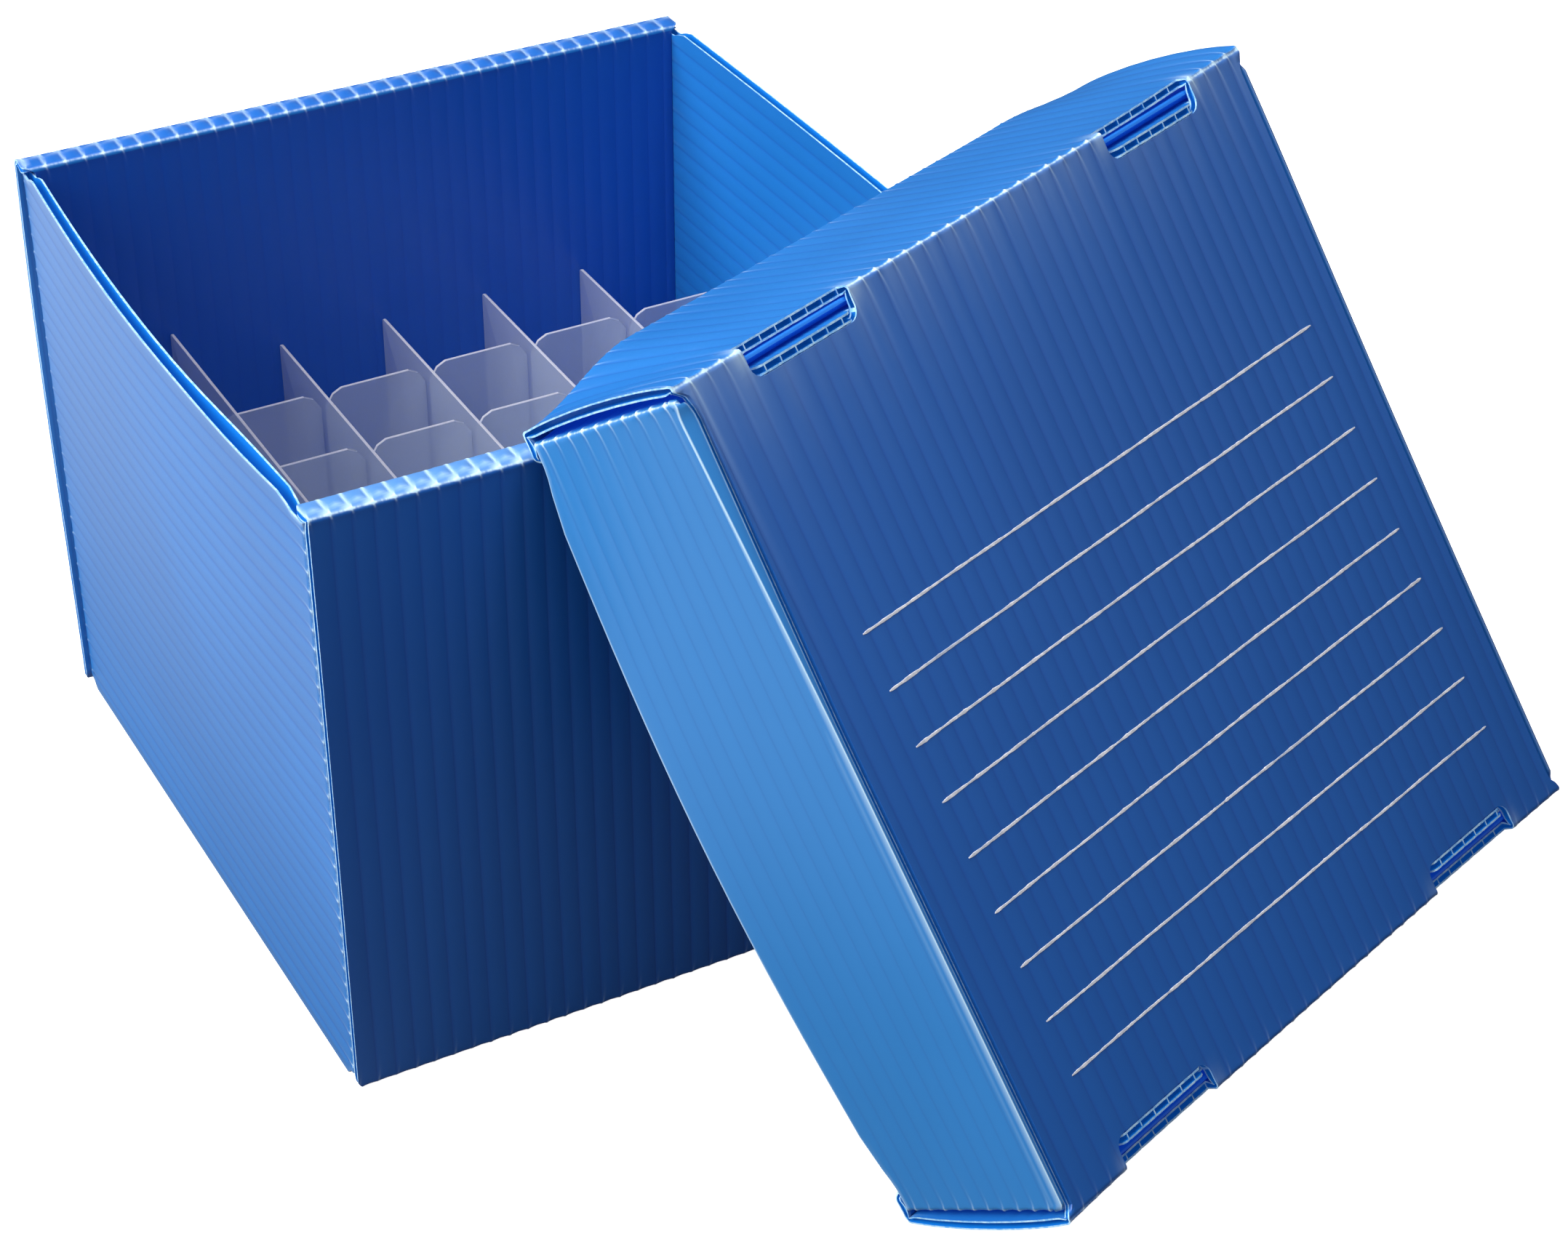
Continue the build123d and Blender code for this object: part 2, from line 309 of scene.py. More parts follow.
        # where the lip drops, the last cell's roof drops with it
        depth[:, 0, 0] += 0.5 * self.lip
        depth[:, -1, 1] += 0.5 * self.lip
        return depth.reshape(len(v), -1)

    def fold_columns(self, v):
        """The fold's own columns; the skin columns in v are moved clear of them."""
        at_lo = self.fold == "lo"
        edge = self.lo if at_lo else self.hi
        sign, bound = (1.0, np.maximum) if at_lo else (-1.0, np.minimum)
        chamfer = self.chamfer[:, None]
        inset, inset_ch, depth, depth_ch, white = FOLD.T
        fold_v = edge[:, None] + sign * (inset + inset_ch * chamfer)
        fold_depth = depth + depth_ch * chamfer
        if self.chamfer.max() == 0:
            fold_depth = fold_depth * self.pinch[:, None]
        limit = edge + sign * np.maximum(0.50 + 0.80 * self.chamfer, FOLD_SKIN)
        columns = (0, 1, 2, 3) if at_lo else (-1, -2, -3, -4)
        v[:, columns[0]] = edge + sign * FOLD_SKIN
        for column, gap in zip(columns[1:], (0.14, 0.7, 1.0)):
            v[:, column] = bound(v[:, column], limit + sign * gap)
        return fold_v, fold_depth - self.push(fold_v, self.path), white * self.fold_white[:, None]

    def section(self):
        """Edges round the section as (column, column, kind), and the end-cap polygons."""
        n = self.cells
        inner0, hole0 = 4 * n + 1, 2 * (4 * n + 1)
        fold0 = hole0 + 4 * n

        def hole(q, corner):
            return hole0 + 4 * q + corner

        edges, caps = [], []
        for q in range(4 * n):
            edges.append((q, q + 1, PLAIN))
            edges.append((inner0 + q + 1, inner0 + q, PLAIN))
        for q in range(n):
            ring = [(0, 3), (3, 2), (2, 1), (1, 0)]
            if q == 0 and self.fold != "lo":
                ring.remove((0, 3))
            if q == n - 1 and self.fold != "hi":
                ring.remove((2, 1))
            edges += [(hole(q, a), hole(q, b), CHANNEL) for a, b in ring]
            caps.append([4 * q + c for c in range(5)] + [hole(q, 1), hole(q, 0)])
            caps.append([inner0 + 4 * q + c for c in (4, 3, 2, 1, 0)] + [hole(q, 3), hole(q, 2)])
            if q > 0:
                caps.append([4 * q, hole(q, 0), hole(q, 3), inner0 + 4 * q,
                             hole(q - 1, 2), hole(q - 1, 1)])
        folds = list(range(fold0, fold0 + len(FOLD)))
        if self.fold == "hi":
            chain = [4 * n] + folds + [inner0 + 4 * n]
            edges += [(a, b, PLAIN) for a, b in zip(chain, chain[1:])]
            caps.append(chain + [hole(n - 1, 2), hole(n - 1, 1)])
        else:
            edges.append((4 * n, hole(n - 1, 1), CUT))
            edges.append((hole(n - 1, 2), inner0 + 4 * n, CUT))
        if self.fold == "lo":
            chain = [inner0] + folds[::-1] + [0]
            edges += [(a, b, PLAIN) for a, b in zip(chain, chain[1:])]
            caps.append(chain + [hole(0, 0), hole(0, 3)])
        else:
            edges.append((inner0, hole(0, 3), CUT))
            edges.append((hole(0, 0), 0, CUT))
        return np.array(edges), caps

    def faces(self, columns):
        edges, caps = self.section()
        start, end = edges[:, 0].astype(int), edges[:, 1].astype(int)
        spans = len(self.lo) - 1
        row = np.arange(spans)[:, None] * columns
        quads = np.stack([row + start, row + end, row + columns + end, row + columns + start], 2)
        faces = [tuple(f) for f in quads.reshape(-1, 4).tolist()]
        kinds = np.repeat(edges[None, :, 2], spans, 0)
        kinds = list(np.where(kinds == PLAIN, self.kind[1:, None], kinds).reshape(-1))
        for cap in caps:
            faces.append(tuple(c + spans * columns for c in cap))
            faces.append(tuple(reversed(cap)))
            kinds += [CUT, CUT]
        return faces, np.array(kinds)

    def build(self, name):
        path = self.path
        j = np.arange(4 * self.cells + 1)
        frac = FRACS[j % 4]
        cell_pos = j // 4 + frac
        v = self.stretch_ends(self.v_lo + cell_pos * self.pitch)
        rib = bell(np.minimum(frac, 1 - frac) * self.pitch, 0.32)[None]
        thick = SHEET * self.pinch[:, None]
        push = self.push(v, path) + np.zeros_like(v)
        gape = self.gape(v, path) + np.zeros_like(v)
        hole_v = self.channel_v()
        all_v = [v, v, hole_v]                     # outer skin, inner skin, channels
        depths = [-self.relief(frac, cell_pos, rib) - push - gape / 2,
                  thick - 0.045 * rib - push + gape / 2,
                  self.channel_depth(hole_v, thick)]
        whites = [np.zeros_like(v) + self.white(v, path), np.zeros_like(v),
                  np.zeros_like(hole_v) + self.white_inside(hole_v, path)]
        if self.fold:
            # this also moves the columns of both skins, which share v
            for parts, part in zip((all_v, depths, whites), self.fold_columns(v)):
                parts.append(part)
        all_v, depths, white = (np.concatenate(c, 1) for c in (all_v, depths, whites))
        pos = path.pos[:, None, :] - path.normal[:, None, :] * depths[:, :, None]
        points = self.place(pos[..., 0].ravel(), pos[..., 1].ravel(), all_v.ravel())
        columns = all_v.shape[1]

        def spread(values):
            return np.repeat(values[:, None], columns, 1)

        faces, kinds = self.faces(columns)
        return new_mesh(name, points, faces, SimpleNamespace(
            cell=((all_v - self.v_lo) / self.pitch).ravel(),
            along=spread(path.along).ravel(),
            from_crease=spread(np.abs(path.from_crease)).ravel(),
            strength=(spread(self.strength) * self.strength_at(all_v, path)).ravel(),
            white=white.ravel(), kinds=kinds))


# ------------------------------------------------------------------ mesh helpers
def signed_volume(co, faces):
    a, b, c, d = (co[column] for column in np.array([f for f in faces if len(f) == 4]).T)
    total = np.einsum("ij,ij->i", a, np.cross(b, c)).sum()
    total += np.einsum("ij,ij->i", a, np.cross(c, d)).sum()
    for f in faces:
        if len(f) != 4:
            for q in range(1, len(f) - 1):
                total += np.dot(co[f[0]], np.cross(co[f[q]], co[f[q + 1]]))
    return total / 6


def link_object(name, data):
    ob = bpy.data.objects.new(name, data)
    bpy.context.scene.collection.objects.link(ob)
    return ob


def new_mesh(name, co, faces, maps=None):
    """A closed mesh facing outward. maps has values per vertex, and kinds per face."""
    if signed_volume(co, faces) < 0:
        faces = [tuple(reversed(f)) for f in faces]
    me = bpy.data.meshes.new(name)
    me.from_pydata(co.tolist(), [], faces)
    me.update()
    if maps is not None:
        vertex = np.zeros(len(me.loops), np.int32)
        me.loops.foreach_get("vertex_index", vertex)
        sizes = np.zeros(len(me.polygons), np.int32)
        me.polygons.foreach_get("loop_total", sizes)
        for layer, first, second in (
                ("flute", maps.cell[vertex], maps.along[vertex]),
                ("crease", maps.from_crease[vertex], maps.strength[vertex]),
                ("kind", np.repeat(maps.kinds, sizes), maps.white[vertex])):
            data = np.stack([first, second], 1).astype(np.float32)
            me.uv_layers.new(name=layer).data.foreach_set("uv", data.ravel())
    return link_object(name, me)


def prism(name, loops, start, end, axis):
    """Closed prisms from 2D loops, running along one axis, as one mesh."""
    co, faces = [], []
    for loop in loops:
        area2 = sum(a[0] * b[1] - b[0] * a[1] for a, b in zip(loop, loop[1:] + loop[:1]))
        if area2 < 0:
            loop = loop[::-1]
        base, m = len(co), len(loop)
        for h in (start, end):
            for point in loop:
                xyz = list(point)
                xyz.insert(axis, h)
                co.append(xyz)
        faces.append(tuple(base + q for q in range(m)))
        faces.append(tuple(base + m + q for q in reversed(range(m))))
        for q in range(m):
            r = (q + 1) % m
            faces.append((base + q, base + m + q, base + m + r, base + r))
    zeros = np.zeros(len(co))
    return new_mesh(name, np.array(co, float), faces, SimpleNamespace(
        cell=zeros + 0.5, along=zeros, from_crease=zeros + FAR, strength=zeros, white=zeros,
        kinds=np.full(len(faces), CUT)))


def cut_with(ob, cutter):
    mod = ob.modifiers.new("cut", "BOOLEAN")
    mod.operation = "DIFFERENCE"
    mod.object = cutter
    mod.solver = "MANIFOLD"
    dg = bpy.context.evaluated_depsgraph_get()
    me = bpy.data.meshes.new_from_object(ob.evaluated_get(dg), preserve_all_data_layers=True,
                                         depsgraph=dg)
    old = ob.data
    ob.modifiers.clear()
    ob.data = me
    bpy.data.meshes.remove(old)
    bpy.data.objects.remove(cutter)


def finish(ob, place, material, part):
    """Bends the piece into its place in the world, then shades and registers it."""
    me = ob.data
    co = place(mesh_points(me)) * 0.001
    me.vertices.foreach_set("co", co.astype(np.float32).ravel())
    me.polygons.foreach_set("use_smooth", np.ones(len(me.polygons), bool))
    me.update()
    me.set_sharp_from_angle(angle=math.radians(34.0))
    me.materials.clear()
    me.materials.append(material)
    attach(ob, part)


# ------------------------------------------------------------------ shader helpers
class Signal:
    """A node's output; arithmetic on it adds math nodes."""

    def __init__(self, shader, socket):
        self.shader, self.socket = shader, socket

    def __add__(self, other):
        return self.shader.math("ADD", self, other)

    def __radd__(self, other):
        return self.shader.math("ADD", other, self)

    def __sub__(self, other):
        return self.shader.math("SUBTRACT", self, other)

    def __rsub__(self, other):
        return self.shader.math("SUBTRACT", other, self)

    def __mul__(self, other):
        return self.shader.math("MULTIPLY", self, other)

    def __truediv__(self, other):
        return self.shader.math("DIVIDE", self, other)


class Shader:
    """The node tree of a material or world."""

    def __init__(self, owner):
        self.owner = owner
        owner.use_nodes = True
        self.tree = owner.node_tree
        self.tree.nodes.clear()

    def node(self, kind, inputs=None, **props):
        node = self.tree.nodes.new(kind)
        for key, value in props.items():
            setattr(node, key, value)
        for key, value in (inputs or {}).items():
            if isinstance(value, Signal):
                self.tree.links.new(value.socket, node.inputs[key])
            elif isinstance(value, tuple):
                node.inputs[key].default_value = (*value, 1.0)
            else:
                node.inputs[key].default_value = float(value)
        return node

    def add(self, kind, inputs=None, output=0, **props):
        return Signal(self, self.node(kind, inputs, **props).outputs[output])

    def math(self, operation, *values, clamp=False):
        return self.add("ShaderNodeMath", dict(enumerate(values)),
                        operation=operation, use_clamp=clamp)

    def exp(self, x):
        return self.math("EXPONENT", x)

    def gauss(self, x, width):
        q = x / width
        return self.exp(q * q * -1.0)

    def near_zero(self, x, within):
        return self.math("LESS_THAN", self.math("ABSOLUTE", x), within)

    def mix(self, factor, a, b):
        # inputs 6 and 7 and output 2 are the node's colour sockets
        return self.add("ShaderNodeMix", {0: factor, 6: a, 7: b}, output=2,
                        data_type="RGBA", blend_type="MIX", clamp_factor=True)

    def tint(self, base, mask, amount, colour):
        return self.mix(mask * amount, base, colour)

    def mix_shader(self, factor, a, b):
        return self.add("ShaderNodeMixShader", {0: factor, 1: a, 2: b})

    def noise(self, at, scale, detail, rough, dims="3D"):
        inputs = {"Scale": scale, "Detail": detail, "Roughness": rough,
                  "W" if dims == "1D" else "Vector": at}
        return self.add("ShaderNodeTexNoise", inputs, output="Fac", noise_dimensions=dims)

    def ramp(self, x, start, end, low=0.0, high=1.0):
        inputs = {"From Min": start, "From Max": end, "To Min": low, "To Max": high, "Value": x}
        return self.add("ShaderNodeMapRange", inputs, output="Result",
                        interpolation_type="SMOOTHSTEP")

    def object_space(self):
        return self.add("ShaderNodeTexCoord", output="Object")

    def split(self, vector):
        """The x and y of a vector."""
        node = self.node("ShaderNodeSeparateXYZ", {0: vector})
        return Signal(self, node.outputs[0]), Signal(self, node.outputs[1])

    def uv(self, layer):
        return self.split(self.add("ShaderNodeUVMap", uv_map=layer))

    def light_path(self, output):
        return self.add("ShaderNodeLightPath", output=output)

    def bump(self, height, strength, distance):
        return self.add("ShaderNodeBump",
                        {"Strength": strength, "Distance": distance, "Height": height})

    def surface(self, shader):
        self.node("ShaderNodeOutputMaterial", {0: shader})
        return self.owner


def new_shader(name):
    return Shader(bpy.data.materials.new(name))


# ------------------------------------------------------------------ materials
def crease_stress(g, cell, across, from_crease, strength, rib_random, painted):
    """Stress whitening where creases cross the ribs, plus the whitening carried on the mesh,
    which holds both stress whitening and painted highlights.
    """
    away = g.math("ABSOLUTE", from_crease)
    # tails run off along each rib, drifting to one side and widening
    drift = (1.0 - g.exp(away / -1.5)) * 0.70
    width = 0.17 + away * 0.030
    length = (0.35 + strength * strength * 1.15) * (0.55 + rib_random)
    short_tail = g.exp(away * -1.15)
    long_tail = g.exp(away / (length * 2.2) * -1.0)
    tail = g.gauss(across - drift, width) * (short_tail * 0.95 + long_tail * 0.20)
    # a spot on each rib, and a broken line along the crease itself
    spot = g.gauss(from_crease, width=0.27) * g.gauss(across - 0.05, width=0.55)
    dashes = g.noise(cell * 5.0, scale=1.0, detail=1.0, rough=0.5, dims="1D")
    core = g.gauss(from_crease, width=0.20) * g.ramp(dashes, 0.40, 0.60, low=0.45, high=1.0)
    limited = g.math("MINIMUM", strength, 1.0)
    stress = (spot * 0.95 + tail * (0.55 + rib_random * 0.5) + core * 0.75) * limited
    return g.math("ADD", stress, painted, clamp=True)


def fluted_material():
    """Blue polypropylene twin-wall sheet: rib lines, stress-whitened creases and pale cut edges.
    Painted light: a painted glow in channels, flaps and cut faces for the light the thin skins
    let through, painted shade or sheen on whole panels, and painted highlights."""
    g = new_shader("blue_fluted_polypropylene")
    cell = g.uv("flute")[0]
    from_crease, strength = g.uv("crease")
    kind, painted = g.uv("kind")
    at = g.object_space()

    shifted = cell + 0.5
    rib_id = g.math("FLOOR", shifted)
    across = (g.math("FRACT", shifted) - 0.5) * PITCH      # mm from the nearest rib
    rib_vector = g.add("ShaderNodeCombineXYZ", {0: rib_id})
    rib_random = g.add("ShaderNodeTexWhiteNoise", {"Vector": rib_vector}, output="Value",
                       noise_dimensions="2D")
    cell_random = g.add("ShaderNodeTexWhiteNoise", {"W": g.math("FLOOR", cell)},
                        output="Value", noise_dimensions="1D")
    broad = g.noise(at, scale=14.0, detail=3.0, rough=0.5)
    fine = g.noise(at, scale=900.0, detail=4.0, rough=0.6)
    rib = g.gauss(across, width=0.30)

    # body colour, a little uneven over the sheet and from cell to cell
    body = g.mix(g.ramp(broad, 0.35, 0.65), (0.0130, 0.168, 0.520), (0.0160, 0.186, 0.570))
    body = g.tint(body, cell_random, amount=0.10, colour=(0.010, 0.125, 0.45))
    body = g.tint(body, rib, amount=0.34, colour=(0.012, 0.078, 0.370))
    halo = g.gauss(across, width=0.95)
    body = g.tint(body, halo, amount=0.10, colour=(0.010, 0.100, 0.42))

    # painted shade and painted sheen on whole panels: the inner panels and the shaded faces are
    # darker, and the paler faces lighter
    inner = g.near_zero(kind - INNER, within=0.1)
    body = g.tint(body, inner, amount=0.88, colour=(0.006, 0.074, 0.440))
    shaded = g.near_zero(kind + abs(SHADED), within=0.2)
    body = g.tint(body, shaded, amount=0.42, colour=(0.010, 0.085, 0.500))
    pale = g.math("LESS_THAN", kind, -0.8)
    body = g.tint(body, pale, amount=0.42, colour=(0.050, 0.240, 0.520))

    # the whitening below also carries painted highlights, a painted sheen and a painted
    # reflection from the mesh
    stress = crease_stress(g, cell, across, from_crease, strength, rib_random, painted)
    body = g.tint(body, stress, amount=0.93, colour=(0.60, 0.83, 0.97))

    channel = g.near_zero(kind - CHANNEL, within=0.3)
    cut = g.math("GREATER_THAN", kind, 1.5)
    flap = g.near_zero(kind - FLAP, within=0.2)
    hollow = g.mix(painted, (0.005, 0.170, 0.58), (0.42, 0.68, 0.90))
    colour = g.mix(channel, body, hollow)
    cut_colour = g.mix(g.ramp(fine, 0.35, 0.65), (0.20, 0.50, 0.88), (0.50, 0.78, 0.97))
    colour = g.mix(cut, colour, cut_colour)

    rough = 0.33 + (broad - 0.5) * 0.10 + (fine - 0.5) * 0.06 + rib * 0.05
    # painted glow by face class: emission that stands in for the light the thin skins let
    # through, on channels, cut faces, flaps and whitening, plus a faint painted ambient glow
    # everywhere
    glow = channel * 0.14 + cut * 0.05 + flap * 0.55 + 0.012 + stress * 0.05
    # surface height: grain, ripple, sunk ribs and raised whitening
    ripple = g.noise(at, scale=160.0, detail=2.0, rough=0.5)
    height = fine * 0.12 + ripple * 0.5 - g.gauss(across, width=0.22) * 0.45 + stress * 0.8
    return g.surface(g.add("ShaderNodeBsdfPrincipled", {
        "Base Color": colour,
        "Roughness": rough,
        "IOR": 1.49,
        "Specular IOR Level": 0.5,
        # painted glow colour: deep blue on the flaps, the surface colour elsewhere
        "Emission Color": g.mix(flap, colour, (0.0015, 0.030, 0.36)),
        "Emission Strength": glow,
        "Normal": g.bump(height, strength=0.25, distance=0.00012),
    }))


def frosted_material(name, clear, tint, gloss, behind=None):
    """Frosted clear polypropylene. clear is the share of light that goes straight
    through, and behind is that share once a ray has passed another surface."""
    g = new_shader(name)
    at = g.object_space()
    haze = g.noise(at, scale=60.0, detail=4.0, rough=0.6)
    grain = g.noise(at, scale=1500.0, detail=3.0, rough=0.6)
    colour = g.mix(g.ramp(haze, 0.3, 0.7), tuple(0.94 * c for c in tint), tint)
    colour = g.tint(colour, grain, amount=0.10, colour=tuple(0.7 * c for c in tint))
    bump = g.bump(grain, strength=0.2, distance=0.00005)
    diffuse = g.add("ShaderNodeBsdfDiffuse", {"Color": colour, "Normal": bump})
    translucent = g.add("ShaderNodeBsdfTranslucent", {"Color": colour})
    half = g.mix_shader(0.5, diffuse, translucent)
    glossy = g.add("ShaderNodeBsdfGlossy",
                   {"Roughness": 0.42, "Color": (0.9, 0.92, 0.97), "Normal": bump})
    fresnel = g.add("ShaderNodeFresnel", {"IOR": 1.40})
    body = g.mix_shader(fresnel * gloss, half, glossy)
    transparent = g.add("ShaderNodeBsdfTransparent", {"Color": (0.97, 0.98, 1.0)})
    see_through = clear + (haze - 0.5) * 0.06
    if behind is not None:
        depth = g.light_path("Transparent Depth")
        see_through = see_through + g.math("GREATER_THAN", depth, 0.5) * (behind - clear)
    return g.surface(g.mix_shader(see_through, body, transparent))


def ink_material():
    """Pale printed writing lines, slightly worn."""
    g = new_shader("pale_printed_line")
    at = g.object_space()
    grain = g.noise(at, scale=700.0, detail=4.0, rough=0.65)
    wear = g.noise(at, scale=90.0, detail=2.0, rough=0.5)
    colour = g.mix(g.ramp(grain, 0.35, 0.7), (0.62, 0.66, 0.72), (0.92, 0.94, 0.96))
    colour = g.tint(colour, g.ramp(wear, 0.60, 0.75), amount=0.45, colour=(0.30, 0.42, 0.62))
    return g.surface(g.add("ShaderNodeBsdfPrincipled", {
        "Base Color": colour,
        "Roughness": 0.55,
        # a faint painted glow brightens the ink
        "Emission Color": colour,
        "Emission Strength": 0.12,
        "Normal": g.bump(grain, strength=0.3, distance=0.00004),
    }))


BLUE = fluted_material()
FROST = frosted_material("frosted_polypropylene", clear=0.68, tint=(0.92, 0.97, 1.0), gloss=0.9)
FROST_EDGE = frosted_material("frosted_cut_edge", clear=0.06, tint=(0.93, 0.91, 0.93),
                              gloss=0.6, behind=0.72)
INK = ink_material()


# ------------------------------------------------------------------ shared by both folded sheets
def yz_to_xyz(a, b, v):
    return np.stack([v, a, b], 1)


def xy_to_xyz(a, b, v):
    return np.stack([a, b, v], 1)


def rim_pillow(path, bulge):
    """Cells bulge across the rim strips, and a little just beyond their creases."""
    rim = (path.run == RIM_A) | (path.run == RIM_B)
    pillow = np.where(rim, bulge * np.sin(np.pi * (0.06 + 0.88 * path.frac)) ** 0.6, 0)
    beside = (~rim & np.isin(path.crease, (0, 1, 4, 5)) & (np.abs(path.from_crease) < 2.2))
    pillow[beside] = 0.20 * bell(path.from_crease[beside], 1.0)
    return pillow


def rim_white(sheet, v, path, front, line):
    """Rim strips: stress-whitened rib lines and a gusset in each cell, with a painted highlight,
    a soft glint, in each cell.

    front marks the rows that get a painted sheen, paler all over, and line is the rib lines'
    whitening.
    """
    cell = (v - sheet.v_lo) / sheet.pitch
    frac = cell - np.floor(cell + 1e-6)
    from_rib = np.abs(cell - np.round(cell)) * sheet.pitch
    rim = ((path.run == RIM_A) | (path.run == RIM_B))[:, None]
    # 0 at the outer crease
    inward = np.where(path.run == RIM_A, 1 - path.frac, path.frac)[:, None]
    # painted highlight: a soft glint in each cell near the outer crease
    glint = 0.34 * bell(frac - 0.5, 0.22) * bell(inward - 0.26, 0.17)
    gusset = 0.50 * bell(frac - 0.88, 0.10) * bell(inward, 0.22)
    # painted sheen: the front rows paler all over, with full-strength glints; the gussets are
    # stress whitening
    sheen_glint_and_gusset = 0.13 * front + (0.5 + 0.5 * front) * glint + gusset
    return rim * (sheen_glint_and_gusset + line * bell(from_rib, 0.28))


# ------------------------------------------------------------------ base
IN_Y = HALF_Y - RIM                            # inner panels, from the middle
WALL_BOW, RIGHT_BOW = 3.4, 0.9                 # outward bow of the side walls at the rim
FRONT_BOW, BACK_BOW = 0.5, 0.35                # bow of the front and back at mid height


def base_field(p):
    """Slow bows of the base's thin walls, the same for every piece that meets them."""
    q = p.copy()
    x, y, z = p.T
    up = np.clip(z / BASE_H, 0, 1)
    along = hump((y + HALF_Y) / (2 * HALF_Y))
    across = hump((x + HALF_X) / (2 * HALF_X))

    def near_wall(distance):
        return 1 - smooth(0, 9, distance)

    q[:, 0] -= WALL_BOW * near_wall(x + HALF_X) * along * up ** 1.6
    q[:, 0] += RIGHT_BOW * near_wall(HALF_X - x) * along * up ** 1.5
    front, back = near_wall(y + HALF_Y), near_wall(HALF_Y - y)
    q[:, 1] += (FRONT_BOW * front - BACK_BOW * back) * across * np.sin(np.pi * up)
    return q


def base_folded_sheet():
    """Floor, front and back walls, their rims and inner panels, as one sheet."""
    path = Path([(-IN_Y, SHEET + GAP), (-IN_Y, BASE_H), (-HALF_Y, BASE_H), (-HALF_Y, 0),
                 (HALF_Y, 0), (HALF_Y, BASE_H), (IN_Y, BASE_H), (IN_Y, SHEET + GAP)], 1.0)
    sheet = Sheet(path, -HALF_X, HALF_X, yz_to_xyz)
    run, away = path.run, path.from_crease
    inset = path.per_run([SHEET + GAP, 0, 0, SHEET + 0.08, 0, 0, SHEET + GAP])
    # the back wall's left raw edge was cut beside a rib, so it shows a closed, rounded side
    back = path.per_run([0, 0, 0, 0, 1, 0.6, 0])
    sheet.lo = -HALF_X + inset - 0.9 * back * (run >= WALL_B)
    sheet.hi = HALF_X - inset
    sheet.hollow_lo = path.per_run([3.0, 0.4, 3.0, 2.0, 0.15, 0.3, 3.0])
    sheet.hollow_hi = path.per_run([3.0, 0.4, 3.0, 2.0, 3.0, 0.4, 3.0])
    sheet.pinch = 1 - path.per_crease([0.42, 0.42, 0.5, 0.5, 0.42, 0.42]) * bell(away, 1.5)
    sheet.scallop = path.per_crease([0.7, 0.8, 0.6, 0.6, 0.8, 0.7])
    sheet.pillow = rim_pillow(path, 0.42)
    sheet.strength = path.per_crease([0.55, 0.85, 0.5, 0.5, 0.85, 0.55])
    # only faint ticks show on the walls under the rims, and on the inner panels
    sheet.strength[(run == WALL_A) & (path.crease == 1) & (away > 0.9)] *= 0.30
    sheet.strength[(run == WALL_B) & (path.crease == 4) & (away < -0.9)] *= 0.45
    sheet.strength[((run == INNER_A) & (away < -0.8)) | ((run == INNER_B) & (away > 0.8))] *= 0.5
    # painted shade: the inner panels, the front wall and the back rim are marked for a darker
    # colour
    inner = ((run == INNER_A) | (run == INNER_B)) & (np.abs(away) > 0.9)
    sheet.kind = np.where(inner, INNER, PLAIN)
    sheet.kind = np.where((run == WALL_A) | (run == RIM_B), SHADED, sheet.kind)

    def white(v, path):
        # the front rim gets the painted sheen, full glints and whiter rib lines
        front = (path.run == RIM_A)[:, None]
        return rim_white(sheet, v, path, front, np.where(front, 0.62, 0.45))

    def push(v, path):
        """Small splay of the walls' raw edges, away from the side walls."""
        up = np.clip(path.pos[:, 1][:, None] / BASE_H, 0, 1)
        front = (path.run == WALL_A)[:, None] * np.sin(np.pi * up) ** 0.8
        back = (path.run == WALL_B)[:, None] * np.sin(np.pi * up ** 1.5)
        left = decay(v + HALF_X, 6.0)
        right = decay(HALF_X - v, 6.0)
        return front * (0.35 * left + 0.30 * right) + back * (1.9 * left + 0.4 * right)

    def white_inside(v, path):
        """Painted highlight along the rounded raw edge of the back wall on the left, stronger
        towards the top.
        """
        up = path.pos[:, 1][:, None] / BASE_H
        on = (path.run == WALL_B)[:, None]
        return on * bell(v + HALF_X, 1.6) * (0.25 + 0.45 * smooth(0.3, 0.75, up))

    sheet.white, sheet.push, sheet.white_inside = white, push, white_inside
    return sheet.build("base_folded_sheet")


def base_side(name, side):
    """A base side wall with its two corner flaps, one sheet with level channels.

    side is -1 for the left and 1 for the right.
    """
    flap_y = HALF_Y - SHEET - FLAP_GAP
    flap_end = HALF_X - SHEET - 45.0
    path = Path([(side * flap_end, -flap_y), (side * HALF_X, -flap_y),
                 (side * HALF_X, flap_y), (side * flap_end, flap_y)], side)
    sheet = Sheet(path, 0.0, BASE_H, xy_to_xyz, fold="lo")
    y = path.pos[:, 1]
    away = np.abs(path.from_crease)
    wall = path.run == 1
    sheet.lo = (SHEET + GAP) * (1 - smooth(1.0, 3.2, away) * wall)
    # the top edge stays under the rims at both ends and rises between them
    low = BASE_H - SHEET - 0.12
    sheet.hi = low + (BASE_H - low) * (smooth(0.0, 5.0, IN_Y - 0.15 - np.abs(y)) * wall)
    sheet.pinch = 1 - 0.45 * bell(path.from_crease, 1.5)
    sheet.strength = np.where(wall, 0.75, 0.75 * 0.3)
    sheet.scallop = np.full(len(y), 0.55)
    sheet.fold_white = 0.25 * wall
    # the corner flaps are marked for a painted glow
    sheet.kind = np.where(wall | (away < 3.0), PLAIN, FLAP)

    def gape(v, path):
        """The skins part along the top edge, most near the front."""
        near_front = bell(y[:, None] + HALF_Y - 26, 19.0)
        return decay(BASE_H - v, 3.0) * wall[:, None] * (0.45 + 0.8 * near_front)

    sheet.gape = gape
    sheet.white = lambda v, path: 0.75 * bell(sheet.hi[:, None] - v, 0.30) * wall[:, None]
    return sheet.build(name)


